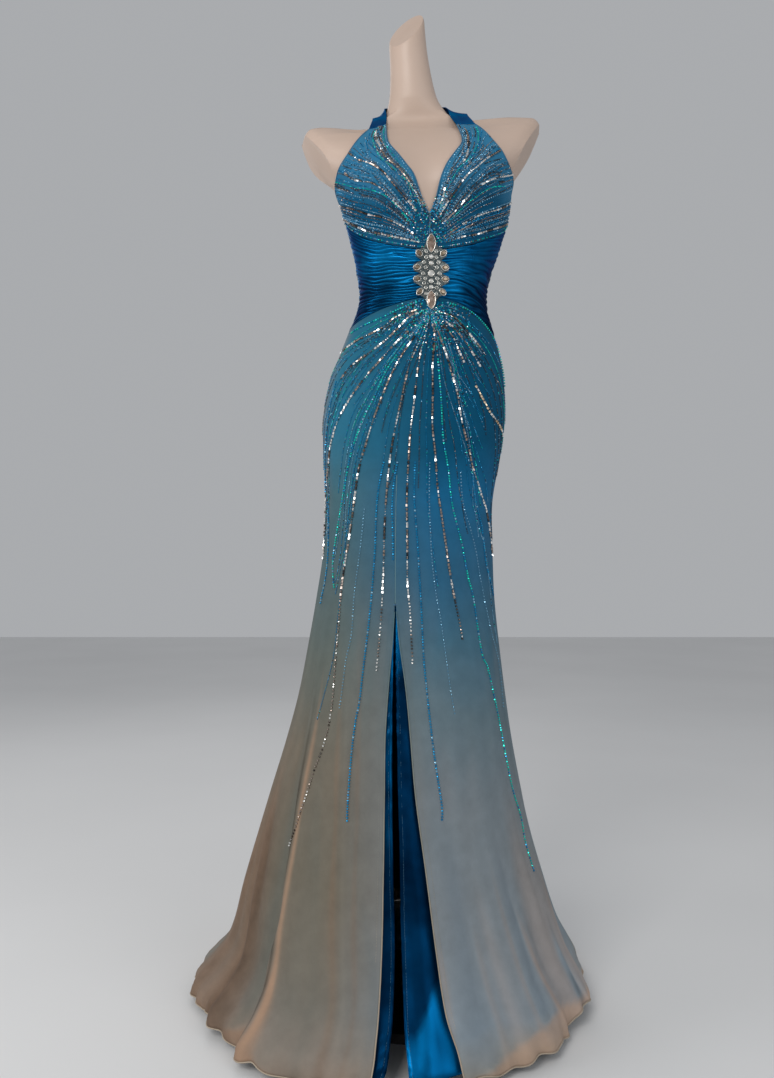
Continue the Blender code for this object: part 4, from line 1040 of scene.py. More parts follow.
liningEdges = {}
for name, node, slitSide in (
    ("FrontLeft", "lining_front_left", -1),
    ("FrontRight", "lining_front_right", 0),
    ("Back", "lining_back", None),
):
    columns = lining["backColumns" if name == "Back" else "frontColumns"]
    angles, heights = panelGrid("lining", name, columns, lining["lowRows"], lining["closingRows"], liningHem)
    points = facePoints(angles, heights, liningOut(angles, heights, slitSide), liningFolds)
    piece = clothGrid("lining" + name, points, attributes=liningPaintedHighlight(angles, heights, name == "FrontLeft"))
    finished(piece, finishes["liningSatin"], "blue_satin", node)
    liningEdges[name] = points
print("lining ready")


# Midriff: satin gathered into many fine level folds that draw together at the brooch
midriff = {
    "front": {"top": "bustSeam", "folds": 23.0, "columns": 138, "rows": 176, "seed": 31},
    "back": {"top": "backTop", "folds": 20.0, "columns": 84, "rows": 112, "seed": 47},
    "face": 0.0029,
    "wall": 0.0005,
    "ridge": 0.0026,
    "turn": 0.18,
}


def gatherDepth(share, angle, folds, seed):
    # long uneven ridges that lean, split and meet, fewer of them where they draw together at the brooch
    away = np.abs(wrapped(angle - 8.0))
    count = folds * blend(0.66, 1.0, smoothStep((away - 10.0) / 60.0))
    bend = 0.95 * unevenness(angle / 34.0, share * 4.0, seed)
    bend = bend + 0.46 * unevenness(angle / 14.0, share * 10.0, seed + 1)
    phase = (share - 0.5) * count + bend
    split = phase * 0.5 + 0.7 * unevenness(angle / 20.0, share * 5.0, seed + 2)
    ridge = np.abs(np.sin(math.pi * phase)) ** 0.8
    broad = np.abs(np.sin(math.pi * split)) ** 0.9
    mixed = smoothStep(0.42 + 0.8 * unevenness(angle / 26.0, share * 7.0, seed + 3))
    strength = 0.82 + 0.30 * unevenness(angle / 18.0, share * 11.0, seed + 4)
    return np.clip(blend(ridge, 0.35 * ridge + 0.75 * broad, mixed) * strength, 0.0, 1.15)


for side in ("front", "back"):
    facts = midriff[side]
    end = cloth["sideAngle"] - midriff["turn"]
    start = -end
    if side == "back":
        start = cloth["sideAngle"] + midriff["turn"]
        end = 360.0 - cloth["sideAngle"] - midriff["turn"]
    angles = np.linspace(start, end, facts["columns"] + 1)[None, :].repeat(facts["rows"] + 1, axis=0)
    shares = np.linspace(0.0, 1.0, facts["rows"] + 1)[:, None].repeat(facts["columns"] + 1, axis=1)
    low = seamHeight("skirtTop", angles) + cloth["seamGap"] / 2.0
    high = seamHeight(facts["top"], angles) - cloth["seamGap"] / 2.0
    tucked = smoothStep(shares / 0.02) * smoothStep((1.0 - shares) / 0.02)
    depth = gatherDepth(shares, angles, facts["folds"], facts["seed"])
    out = midriff["face"] + midriff["ridge"] * depth * tucked
    points = facePoints(angles, blend(low, high, shares), out)
    # painted shade: darker in the fold valleys, at the lower sides and on the right, a little lighter towards
    # the top, and darker by a fixed amount behind
    above = smoothStep((shares - 0.50) / 0.30)
    below = smoothStep((0.60 - shares) / 0.34) * smoothStep((np.abs(wrapped(angles - 6.0)) - 16.0) / 30.0)
    paintedSideShade = 0.15
    if side == "front":
        paintedSideShade = 0.45 * smoothStep((angles - 48.0) / 34.0) * (1.0 - 0.8 * above) + 0.62 * below
    paintedShade = 1.05 * np.clip(1.0 - depth / 0.92, 0.0, 1.0) ** 1.1 * (1.0 - 0.3 * above) + paintedSideShade
    paintedShade = np.clip(paintedShade, 0.0, 1.0)
    piece = clothGrid("midriff" + side.title(), points, midriff["wall"], {"paintedShade": paintedShade})
    finished(piece, finishes["satin"], "blue_satin", "midriff_" + side)
print("midriff ready")


# Cups: two shaped chiffon pieces laid on the bust, and the satin strap behind the neck
cups = {
    "columns": 56,
    "rows": 64,
    "neckRows": 17,
    "sideRows": 11,
    "wall": 0.0009,
    "bindingRadius": 0.0009,
    "centre": 0.0237,
    "bottomOfNeck": 1.338,
    "sideTop": 1.388,
    "underarmAngle": 88.0,
    "Left": {
        "sign": -1.0,
        "underarm": 1.404,
        "neckline": (
            (0.0150, 1.352), (0.0050, 1.377), (-0.0052, 1.401), (-0.0190, 1.419),
            (-0.0389, 1.448), (-0.0466, 1.468), (-0.0490, 1.506),
        ),
        "armhole": ((-0.1280, 1.425), (-0.1087, 1.449), (-0.0782, 1.495)),
    },
    "Right": {
        "sign": 1.0,
        "underarm": 1.410,
        "neckline": (
            (0.0329, 1.361), (0.0415, 1.392), (0.0521, 1.416), (0.0669, 1.439),
            (0.0780, 1.462), (0.0720, 1.503),
        ),
        "armhole": ((0.1560, 1.436), (0.1448, 1.451), (0.1285, 1.470), (0.1040, 1.504)),
    },
}


def bodyTree():
    heights = np.concatenate((np.arange(1.15, 1.48, 0.004), np.arange(1.48, 1.62, 0.0012)))
    angles = np.arange(0.0, 360.0, 1.5)
    grid = barePoints(*np.meshgrid(angles, heights))
    return BVHTree.FromPolygons(grid.reshape(-1, 3).tolist(), ringFaces(len(heights), len(angles)))


body = bodyTree()


def frontPoint(across, height):
    return np.array(body.ray_cast(Vector((across, -1.0, height)), Vector((0.0, 1.0, 0.0)))[0])


def cupGrid(side):
    # a surface between four edges: under the bust, the strap seam, the neckline and the armhole
    facts = cups[side]
    sign = facts["sign"]
    gap = cloth["seamGap"] / 2.0
    centre = cups["centre"] + sign * gap
    centreAngle = float(angleAt(cups["centre"], seamHeight("bustSeam", 0.0)))
    sideAngle = sign * (cloth["sideAngle"] - midriff["turn"])
    angles = np.linspace(centreAngle, sideAngle, cups["columns"] + 1)
    bottom = barePoints(angles, seamHeight("bustSeam", angles) + gap)
    bottom[0, 0] = centre
    lowCentre = frontPoint(centre, float(seamHeight("bustSeam", centreAngle)) + gap)
    neckBottom = frontPoint(centre, cups["bottomOfNeck"])
    curve = smoothPath([neckBottom] + [frontPoint(*place) for place in facts["neckline"]], 16)
    straight = cups["neckRows"]
    inner = np.vstack((
        spreadAlong(np.array([lowCentre, neckBottom]), straight),
        spreadAlong(curve, cups["rows"] - straight)[1:],
    ))
    sideHigh = barePoints(sideAngle, cups["sideTop"])
    underarm = barePoints(sign * cups["underarmAngle"], facts["underarm"])
    curve = smoothPath([sideHigh, underarm] + [frontPoint(*place) for place in facts["armhole"]], 16)
    straight = cups["sideRows"]
    outer = np.vstack((
        spreadAlong(np.array([bottom[-1], sideHigh]), straight),
        spreadAlong(curve, cups["rows"] - straight)[1:],
    ))
    top = spreadAlong(np.array([inner[-1], outer[-1]]), cups["columns"])
    up = np.linspace(0.0, 1.0, cups["rows"] + 1)[:, None, None]
    across = np.linspace(0.0, 1.0, cups["columns"] + 1)[None, :, None]
    ruledUp = blend(bottom[None], top[None], up)
    ruledAcross = blend(inner[:, None], outer[:, None], across)
    corners = blend(blend(bottom[0], bottom[-1], across), blend(top[0], top[-1], across), up)
    return ruledUp + ruledAcross - corners


cupPieces = {}
cupEdges = {}
for side in ("Left", "Right"):
    grid = cupGrid(side)
    rows, columns = grid.shape[:2]
    fan = np.array((cups["centre"], -0.08, 1.29))
    away = grid - fan
    around = np.degrees(np.arctan2(away[..., 2], np.abs(away[..., 0]) + 0.01))
    reach = np.linalg.norm(away, axis=-1)
    ripple = 0.00035 * np.sin(around * 1.15 + 1.5 * unevenness(around / 9.0, reach * 20.0, 61))
    inside = np.minimum(np.arange(columns), np.arange(columns)[::-1])[None, :] / 4.0
    lift = cloth["cupFace"] + ripple * np.clip(inside, 0.0, 1.0)
    places, normals = laidOn(body, grid.reshape(-1, 3), 0.0)
    points = (places + normals * lift.reshape(-1, 1)).reshape(rows, columns, 3)
    if side == "Left":
        points = points[:, ::-1]
    piece = clothGrid("cup" + side, points, cups["wall"])
    cupPieces[side] = finished(piece, finishes["cupChiffon"], "chiffon", "cup_" + side.lower())
    cupEdges[side] = points if side == "Right" else points[:, ::-1]

cupTree = treeOf(list(cupPieces.values()))


def inCup(angle, height):
    # whether a place lies on one of the cups
    place = barePoints(np.array([angle]), np.array([height]))[0]
    return cupTree.find_nearest(Vector(place))[3] < cloth["cupFace"] - 0.0006


strap = {
    "columns": 18,
    "rows": 110,
    "seamGap": 0.0006,
    "pleat": 0.0005,
    "pleats": 3.2,
    "sweeps": 26,
    "wall": 0.0009,
    "leftPlaces": ((-66.0, 1.5475, 1.5345), (-90.0, 1.5555, 1.5370), (-125.0, 1.5670, 1.5430)),
    "nape": (180.0, 1.577, 1.551),
}
leftTop, rightTop = cupEdges["Left"][-1], cupEdges["Right"][-1]
places = list(strap["leftPlaces"]) + [strap["nape"]]
places += [(-angle, upper, lower) for angle, upper, lower in reversed(strap["leftPlaces"])]
upper = smoothPath([leftTop[0]] + [barePoints(row[0], row[1]) for row in places] + [rightTop[0]], 16)
lower = smoothPath([leftTop[-1]] + [barePoints(row[0], row[2]) for row in places] + [rightTop[-1]], 16)
upper = spreadAlong(upper, strap["rows"])
lower = spreadAlong(lower, strap["rows"])
for path in (upper, lower):
    for end, inward in ((0, 1), (-1, -2)):
        step = path[inward] - path[end]
        path[end] = path[end] + step / np.linalg.norm(step) * strap["seamGap"]
across = np.linspace(0.0, 1.0, strap["columns"] + 1)[None, :, None]
grid = blend(upper[:, None], lower[:, None], across)
along = np.linspace(0.0, 1.0, strap["rows"] + 1)[:, None]
flat = across[..., 0]
phase = flat * strap["pleats"] + 0.5 * unevenness(along * 7.0, flat * 2.0, 71)
pleat = strap["pleat"] * np.sin(math.tau * phase)
pleat = pleat * smoothStep(flat / 0.1) * smoothStep((1.0 - flat) / 0.1)
places, normals = laidOn(body, grid.reshape(-1, 3), 0.0)
points = (places + normals * (cloth["strapFace"] + pleat).reshape(-1, 1)).reshape(grid.shape)
for _ in range(strap["sweeps"]):
    # the strap spans the hollow of the neck and shoulder in one smooth sweep
    points[1:-1] += 0.5 * ((points[:-2] + points[2:]) / 2.0 - points[1:-1])
nearest, outward = laidOn(body, points.reshape(-1, 3), 0.0)
short = cloth["strapFace"] - np.einsum("ij,ij->i", points.reshape(-1, 3) - nearest, outward)
points = points + (outward * np.clip(short, 0.0, None)[:, None]).reshape(points.shape)
halterStrap = clothGrid("halterStrap", points, strap["wall"])
finished(halterStrap, finishes["satin"], "blue_satin", "halter_strap")

bindings = []
for side in ("Left", "Right"):
    edges = cupEdges[side]
    bindings.append(evenPath(edges[:, 0], 0.004))
    bindings.append(evenPath(edges[cups["sideRows"]:, -1], 0.004))
finished(tubeAlong("cupBinding", bindings, cups["bindingRadius"], 2), finishes["blueThread"], "chiffon")
print("cups and strap ready")


# Dress form, cut flat at the neck and the arms
formFacts = {
    "columns": 150,
    # lowest and highest ring, and how many, for each part from the hips up
    "rings": ((0.80, 1.38, 60), (1.388, 1.50, 26), (1.503, 1.56, 34), (1.566, 1.735, 24)),
    "easing": 34,
    # point, direction out, direction up, reach below and above, depth of the soft rim, its upper inset
    "cuts": (
        ((-0.1364, 0.0, 1.4051), (-0.855, -0.20, -0.478), (-0.488, 0.0, 0.873), 0.001, 0.30, 0.018, 0.012),
        ((0.1694, 0.0, 1.4258), (0.885, -0.12, -0.450), (0.453, 0.0, 0.891), 0.001, 0.30, 0.018, 0.012),
        ((-0.0420, 0.0, 1.6715), (-0.482, -0.658, 0.576), (0.70, 0.10, 0.70), 0.06, 0.12, 0.006, 0.001),
    ),
    "cutReach": 0.15,
    "rimInset": 0.0012,
    "neckAcross": 0.003,
    "hollowLeft": 0.016,
    "hollowRight": 0.009,
}


def formBlank():
    heights = np.concatenate([np.linspace(*row) for row in formFacts["rings"]])
    count = formFacts["columns"]
    angles = np.linspace(-90.0, 270.0, count, endpoint=False)
    grid = barePoints(*np.meshgrid(angles, heights))
    # the hollow between shoulders and neck is eased at the front, clear of the strap
    bare = smoothStep((50.0 - np.abs(wrapped(angles))) / 24.0)[None, :, None]
    band = (smoothStep((heights - 1.498) / 0.014) * smoothStep((1.572 - heights) / 0.014))[1:-1, None, None]
    for _ in range(formFacts["easing"]):
        middle = (grid[:-2] + grid[2:]) / 2.0
        grid[1:-1, :, :2] += (0.5 * bare * band * (middle - grid[1:-1]))[:, :, :2]
    # beside the neck the shoulders lie a little lower, and the strap spans the hollow
    across = grid[:, :, 0] - formFacts["neckAcross"]
    away = np.abs(across)
    lower = np.where(across < 0.0, formFacts["hollowLeft"], formFacts["hollowRight"])
    lower = lower * smoothStep((0.172 - away) / 0.10) * smoothStep((away - 0.040) / 0.035)
    grid[:, :, 2] -= lower * smoothStep((grid[:, :, 2] - 1.490) / 0.030)
    top = (len(heights) - 1) * count
    ends = (tuple(reversed(range(count))), tuple(range(top, top + count)))
    return meshPiece("formTorso", grid.reshape(-1, 3), [ends[0], *ringFaces(len(heights), count), ends[1]])


def cutAxes(normal, up):
    outward = Vector(normal).normalized()
    upward = Vector(up)
    upward = (upward - outward * upward.dot(outward)).normalized()
    return outward, upward


def softRim(piece, point, outward, upward, depth, upperInset):
    # draws the surface in over a short way before a flat cut, most at its upper end
    def within(vertex):
        away = vertex.co - point
        return -0.00005 < -away.dot(outward) < depth and away.length < formFacts["cutReach"]

    mesh = bmesh.new()
    mesh.from_mesh(piece.data)
    near = [edge for edge in mesh.edges if within(edge.verts[0]) and within(edge.verts[1])]
    bmesh.ops.subdivide_edges(mesh, edges=near, cuts=2, use_grid_fill=True)
    mesh.normal_update()
    moves = []
    for vertex in mesh.verts:
        if within(vertex):
            side = vertex.normal - outward * vertex.normal.dot(outward)
            side.normalize()
            share = 1.0 - (point - vertex.co).dot(outward) / depth
            inset = formFacts["rimInset"] + upperInset * max(0.0, side.dot(upward))
            moves.append((vertex, side * inset * share * share))
    for vertex, move in moves:
        vertex.co -= move
    mesh.to_mesh(piece.data)
    mesh.free()


form = formBlank()
for point, normal, up, below, above, rimDepth, upperInset in formFacts["cuts"]:
    outward, upward = cutAxes(normal, up)
    sideways = upward.cross(outward)
    reach = formFacts["cutReach"]
    deselectAll()
    bpy.ops.mesh.primitive_cube_add(size=1.0)
    cutter = bpy.context.object
    turn = Matrix((sideways * 2.0 * reach, upward * (above + below), outward * reach)).transposed().to_4x4()
    turn.translation = Vector(point) + upward * (above - below) / 2.0 + outward * reach / 2.0
    cutter.matrix_world = turn
    bpy.context.view_layer.update()
    applyModifier(form, "BOOLEAN", operation="DIFFERENCE", solver="EXACT", object=cutter)
    bpy.data.objects.remove(cutter)
    softRim(form, Vector(point), outward, upward, rimDepth, upperInset)
deselectAll()
form.select_set(True)
bpy.context.view_layer.objects.active = form
bpy.ops.object.shade_smooth_by_angle(angle=math.radians(30.0))
finished(form, finishes["formSkin"], "form_skin", "form_torso")
print("form ready")


# Beads: strands that fan out from the brooch, sewn on the skirt and the cups
# Each strand: layer, kind, then angle and height in mm
strands = (
    ("skirt", "silver", ((-5, 1179), (-21, 1167), (-32, 1149), (-55, 1132), (-77, 1118))),
    ("skirt", "silver", ((-10, 1168), (-20, 1141), (-30, 1119), (-49, 1088), (-58, 1066))),
    ("skirt", "silver", (
        (-19, 1117), (-26, 1091), (-35, 1062), (-43, 1035), (-52, 1002), (-58, 979), (-64, 950),
        (-67, 928),
    )),
    ("skirt", "emerald", (
        (-9, 1128), (-18, 1084), (-24, 1038), (-30, 1004), (-37, 963), (-43, 920), (-50, 859),
        (-56, 798), (-57, 759), (-51, 714),
    )),
    ("skirt", "silver", (
        (-11, 1103), (-16, 1064), (-20, 1029), (-28, 962), (-34, 913), (-38, 855), (-44, 746),
        (-42, 642), (-41, 591), (-39, 496), (-42, 425), (-43, 376), (-46, 301),
    )),
    ("skirt", "clear", ((-29, 854), (-32, 775), (-33, 712), (-32, 644), (-34, 597), (-34, 523))),
    ("skirt", "blue", (
        (-16, 930), (-20, 864), (-21, 770), (-21, 688), (-23, 555), (-24, 494), (-22, 389), (-21, 355),
    )),
    ("skirt", "silver", ((-5, 1090), (-8, 1022), (-12, 945), (-14, 864), (-15, 792), (-14, 688), (-15, 581))),
    ("skirt", "blue", ((-8, 930), (-10, 864), (-9, 763))),
    ("skirt", "silver", ((0, 1110), (-1, 1025), (-2, 945), (-1, 782), (0, 723), (2, 676), (4, 595))),
    ("skirt", "blue", ((1, 930), (2, 864), (5, 770), (8, 689), (10, 603), (14, 496), (18, 391), (18, 359))),
    ("skirt", "clear", ((9, 930), (11, 854), (13, 773), (17, 706), (20, 664), (25, 554), (27, 515))),
    ("skirt", "silver", (
        (8, 1137), (7, 1093), (8, 1042), (9, 986), (12, 938), (15, 891), (19, 841), (22, 796),
        (26, 740), (32, 668), (34, 631),
    )),
    ("skirt", "emerald", (
        (10, 1100), (13, 1032), (16, 965), (22, 909), (27, 854), (34, 797), (40, 738), (45, 696),
        (49, 610), (54, 581), (60, 496), (62, 437), (63, 379), (66, 332), (65, 294), (66, 241),
    )),
    ("skirt", "silver", (
        (14, 1117), (18, 1084), (23, 1043), (27, 997), (33, 959), (40, 920), (53, 876), (65, 839),
        (77, 769),
    )),
    ("skirt", "clear", (
        (30, 915), (36, 855), (42, 820), (48, 778), (53, 731), (63, 642), (71, 582), (69, 513),
    )),
    ("skirt", "blue", ((40, 912), (47, 866), (56, 817), (61, 759), (75, 702))),
    ("skirt", "silver", ((21, 1135), (25, 1111), (29, 1088))),
    ("skirt", "silver", ((25, 1145), (34, 1116), (42, 1087))),
    ("skirt", "champagne", ((37, 1055), (45, 1029), (54, 1008), (78, 978))),
    ("skirt", "silver", ((25, 1167), (39, 1134), (50, 1106))),
    ("skirt", "emerald", ((-2, 1196), (-19, 1182), (-36, 1167), (-69, 1150))),
    ("skirt", "emerald", ((17, 1194), (45, 1178), (75, 1131), (84, 1063))),
    ("skirt", "blue", ((-72, 867), (-65, 748), (-67, 690))),
    ("skirt", "silver", ((-62, 968), (-69, 918), (-79, 868), (-82, 815), (-78, 763))),
    ("skirt", "blue", ((-63, 1070), (-65, 1036), (-68, 995), (-73, 953), (-80, 880))),
    ("cup", "silver", (
        (-12, 1488), (-16, 1458), (-19, 1432), (-18, 1418), (-15, 1404), (-12, 1390), (-9, 1378),
        (-6, 1364), (-2, 1349),
    )),
    ("cup", "emerald", (
        (-15, 1475), (-20, 1448), (-22, 1426), (-19, 1408), (-15, 1394), (-11, 1384), (-8, 1366),
        (-5, 1351),
    )),
    ("cup", "clear", ((-22, 1460), (-28, 1430), (-24, 1411), (-19, 1392), (-14, 1375), (-9, 1357))),
    ("cup", "silver", (
        (-35, 1442), (-35, 1433), (-31, 1421), (-26, 1403), (-23, 1389), (-18, 1373), (-12, 1356),
        (-8, 1342),
    )),
    ("cup", "clear", ((-42, 1434), (-36, 1415), (-30, 1396), (-24, 1377), (-17, 1356), (-11, 1338))),
    ("cup", "silver", (
        (-53, 1421), (-51, 1407), (-43, 1396), (-37, 1391), (-30, 1379), (-25, 1365), (-18, 1348),
        (-12, 1331),
    )),
    ("cup", "emerald", (
        (-65, 1410), (-51, 1391), (-39, 1381), (-28, 1368), (-21, 1352), (-14, 1331), (-10, 1319),
    )),
    ("cup", "clear", ((-71, 1401), (-53, 1378), (-41, 1369), (-31, 1356), (-23, 1342), (-14, 1321))),
    ("cup", "silver", (
        (-76, 1374), (-65, 1365), (-55, 1356), (-44, 1345), (-34, 1338), (-22, 1325), (-15, 1315),
        (-10, 1306),
    )),
    ("cup", "clear", ((-86, 1363), (-58, 1340), (-44, 1330), (-30, 1321), (-19, 1311), (-10, 1301))),
    ("cup", "silver", (
        (-80, 1352), (-59, 1330), (-47, 1318), (-32, 1308), (-28, 1305), (-17, 1299), (-6, 1292),
    )),
    ("cup", "clear", (
        (-9, 1495), (-13, 1462), (-16, 1436), (-15, 1418), (-12, 1405), (-9, 1391), (-6, 1375),
        (-3, 1360), (0, 1345),
    )),
    ("cup", "silver", ((13, 1476), (20, 1438), (21, 1417), (15, 1401), (11, 1382), (9, 1364), (6, 1351))),
    ("cup", "emerald", (
        (18, 1474), (23, 1447), (24, 1423), (19, 1405), (14, 1386), (11, 1375), (8, 1355), (5, 1338),
    )),
    ("cup", "clear", ((30, 1442), (28, 1420), (21, 1399), (14, 1378), (10, 1360), (7, 1343))),
    ("cup", "silver", ((35, 1430), (31, 1412), (24, 1395), (18, 1376), (13, 1361), (9, 1344), (6, 1332))),
    ("cup", "clear", ((43, 1428), (36, 1407), (28, 1386), (20, 1365), (14, 1345), (9, 1331))),
    ("cup", "silver", ((59, 1413), (48, 1402), (35, 1385), (27, 1369), (20, 1351), (14, 1335), (9, 1322))),
    ("cup", "emerald", ((62, 1398), (45, 1386), (34, 1371), (25, 1355), (18, 1338), (12, 1323))),
    ("cup", "clear", ((66, 1392), (45, 1371), (31, 1353), (21, 1335), (13, 1318))),
    ("cup", "silver", (
        (77, 1378), (64, 1366), (52, 1355), (40, 1345), (31, 1335), (22, 1320), (15, 1308), (9, 1301),
    )),
    ("cup", "clear", ((79, 1362), (52, 1340), (37, 1326), (25, 1313), (15, 1302))),
    ("cup", "silver", ((72, 1340), (48, 1320), (38, 1311), (26, 1304), (18, 1297), (13, 1293))),
    ("cup", "clear", (
        (12, 1474), (17, 1446), (18, 1432), (17, 1418), (13, 1403), (10, 1386), (7, 1372), (5, 1357),
        (3, 1345),
    )),
)
beads = {
    "bugleLength": 0.0042,
    "bugleRadius": 0.00190,
    "seedRadius": 0.00130,
    "cutRadius": 0.00190,
    "threadRadius": 0.00105,
    "gap": 0.0011,
    "tilt": 0.22,
    "fan": (5.0, 1.183),
    "neckFan": (1.0, 1.318),
    "scatter": 700,
    "neckScatter": 440,
    "orderShare": 0.35,
    "cutBelow": 0.70,
    "cutSpacing": 1.45,
    "smallShare": {"cup": 0.50, "skirt": 0.20},
    "pitch": {"emerald": 0.0030, "blue": 0.0029, "clear": 0.0050, "mixed": 0.0031},
    "finePitch": (0.0023, 0.0030),
    "mainShare": 0.72,
    "edgeLift": 0.0007,
}
mixedColours = ("silver", "emerald", "blue", "dark", "clear")


def beadShape(kind):
    # a six-sided bugle along X, a cut bead, or a very small one
    radius = beads[kind + "Radius"]
    deselectAll()
    if kind == "bugle":
        bpy.ops.mesh.primitive_cylinder_add(
            vertices=6, radius=radius, depth=beads["bugleLength"], rotation=(0.0, math.radians(90.0), 0.0)
        )
        bpy.ops.object.transform_apply(location=False, rotation=True, scale=False)
    elif kind == "thread":
        bpy.ops.mesh.primitive_uv_sphere_add(segments=4, ring_count=2, radius=radius)
    else:
        bpy.ops.mesh.primitive_uv_sphere_add(segments=6, ring_count=3, radius=radius)
    return shapeOf(bpy.context.object)


beadShapes = {kind: beadShape(kind) for kind in ("bugle", "seed", "cut", "thread")}
beadPlaces = {}
glint = random.Random(7)


def clothPlaces(layer, angles, heights, lift):
    # places on the face of the chiffon and the outward direction there
    folds = overlayFolds if layer == "skirt" else None
    face = cloth["overlayFace"] if layer == "skirt" else cloth["cupFace"]
    return facePoints(angles, heights, face + lift, folds), outwardAt(angles, heights, folds)


def sewBeads(names, places, alongs, normals):
    # each bead leans its own way, so that they catch the light unevenly
    for name, place, along, normal in zip(names, places, alongs, normals):
        lean = np.array([glint.gauss(0.0, beads["tilt"]) for _ in range(3)])
        beadPlaces.setdefault(name, []).append((place, along, normal + lean))


def alongStrand(layer, rows, lift):
    # a fine table along a strand: length so far, place, normal
    fine = smoothPath(np.array(rows, float), 24)
    places, normals = clothPlaces(layer, fine[:, 0], fine[:, 1] / 1000.0, lift)
    return np.column_stack((lengthsAlong(places), places, normals))


def placesAt(table, wheres):
    # places, directions and normals at lengths along a strand
    values = [np.interp(wheres, table[:, 0], table[:, column]) for column in range(1, 7)]
    ahead = [np.interp(wheres + 0.001, table[:, 0], table[:, column]) for column in range(1, 4)]
    behind = [np.interp(wheres - 0.001, table[:, 0], table[:, column]) for column in range(1, 4)]
    normals = np.column_stack(values[3:])
    normals = normals / np.linalg.norm(normals, axis=1, keepdims=True)
    return np.column_stack(values[:3]), np.column_stack(ahead) - np.column_stack(behind), normals


def silverRun(kind, reach, dice, small):
    # bugles in short runs of one colour, with small beads between
    names = []
    wheres = []
    where = 0.0
    while where < reach:
        colour = dice.choices(("silver", "taupe", "dark", "small"), (0.31, 0.38, 0.11, small))[0]
        if kind == "champagne":
            colour = dice.choices(("silver", "champagne"), (0.6, 0.4))[0]
        for _ in range(dice.randint(1, 4)):
            length = beads["seedRadius"] * 2.0 if colour == "small" else beads["bugleLength"]
            if where + length > reach:
                break
            if colour == "small":
                names.append((dice.choice(("silver", "dark", "taupe")), "seed"))
            else:
                names.append((colour, "bugle"))
            wheres.append(where + length / 2.0)
            where += length + beads["gap"]
        where += beads["gap"]
    return names, wheres


def seedRun(kind, reach, dice, size="seed"):
    # a close row of cut beads of one colour, with a few of another
    pitch = beads["pitch"][kind]
    names = []
    wheres = []
    if size == "cut":
        pitch = pitch * beads["cutSpacing"]
    where = pitch
    while where < reach:
        colour = kind
        if kind == "mixed":
            colour = dice.choices(mixedColours, (0.18, 0.22, 0.26, 0.14, 0.20))[0]
        elif kind == "emerald" and dice.random() < 0.24:
            colour = "blue"
        elif dice.random() < 0.10:
            colour = "clear"
        names.append((colour, size))
        wheres.append(where)
        where += pitch * dice.uniform(0.94, 1.12)
    return names, wheres


def sewStrand(layer, kind, rows, dice):
    bugles = kind in ("silver", "champagne")
    lift = beads["bugleRadius"] * 0.5 if bugles else beads["seedRadius"] * 0.6
    table = alongStrand(layer, rows, lift)
    if bugles:
        names, wheres = silverRun(kind, table[-1, 0], dice, beads["smallShare"][layer])
        heights = np.interp(wheres, table[:, 0], table[:, 3])
        low = heights < beads["cutBelow"]
        names = [(name[0], "cut") if isLow else name for name, isLow in zip(names, low)]
    else:
        size = "cut" if layer == "skirt" and kind in ("emerald", "blue") else "seed"
        names, wheres = seedRun(kind, table[-1, 0], dice, size)
    if names:
        sewBeads(names, *placesAt(table, np.array(wheres)))


def fanOrder(layer, chosen):
    # strands of one layer from left to right, by their angle a little way out from the fan
    def outAngle(row):
        angles = [place[0] for place in row[2]]
        return np.interp(beads["orderShare"], np.linspace(0.0, 1.0, len(angles)), angles)

    return sorted([row for row in chosen if row[0] == layer], key=outAngle)


def sewFine(table, dice, onCup=False):
    # very small beads, mostly of one colour, kept on the cups where they are the cups' own
    colours = ("blue", "dark", "clear", "taupe" if onCup else "emerald")
    main = dice.choices(colours, (0.30, 0.20, 0.28, 0.22) if onCup else (0.44, 0.22, 0.20, 0.14))[0]
    steps = [dice.uniform(*beads["finePitch"]) for _ in range(int(table[-1, 0] / beads["finePitch"][0]))]
    wheres = np.cumsum([0.0] + steps)
    wheres = wheres[wheres < table[-1, 0]]
    if onCup:
        places = placesAt(table, wheres)[0]
        kept = [cupTree.find_nearest(Vector(place))[3] < beads["threadRadius"] * 0.9 for place in places]
        wheres = wheres[np.array(kept, bool)]
    names = []
    for _ in wheres:
        names.append((main if dice.random() < beads["mainShare"] else dice.choice(colours), "thread"))
    if names:
        sewBeads(names, *placesAt(table, wheres))


def toFan(rows, share=0.88):
    # a skirt strand carried up towards the fan
    fanAngle, fanHeight = beads["fan"]
    near = (blend(rows[0][0], fanAngle, share), blend(rows[0][1], fanHeight * 1000.0, share))
    return (near, *rows)


def toEdge(rows):
    # a cup strand carried out to the edge of its cup
    place = np.array(rows[0], float)
    scale = np.array((2.0, 1.0))
    step = (place - np.array(rows[1], float)) * scale
    step = step / np.linalg.norm(step) / scale * 3.0
    longer = list(rows)
    for _ in range(10):
        place = place + step
        if not inCup(place[0], place[1] / 1000.0):
            break
        longer.insert(0, tuple(place))
    return longer


def sewBetween(layer, first, second, share, dice):
    # a fine dotted line between two strands
    low = smoothPath(np.array(first, float), 10)
    high = smoothPath(np.array(second, float), 10)
    reach = dice.uniform(0.35, 0.95) if layer == "skirt" else 1.0
    steps = np.linspace(0.0, reach, 12)
    rows = []
    for step in steps:
        one = [np.interp(step, np.linspace(0.0, 1.0, len(low)), low[:, column]) for column in (0, 1)]
        two = [np.interp(step, np.linspace(0.0, 1.0, len(high)), high[:, column]) for column in (0, 1)]
        rows.append((blend(one[0], two[0], share), blend(one[1], two[1], share)))
    table = alongStrand(layer, rows, beads["threadRadius"] * 0.6)
    sewFine(table, dice, layer == "cup")


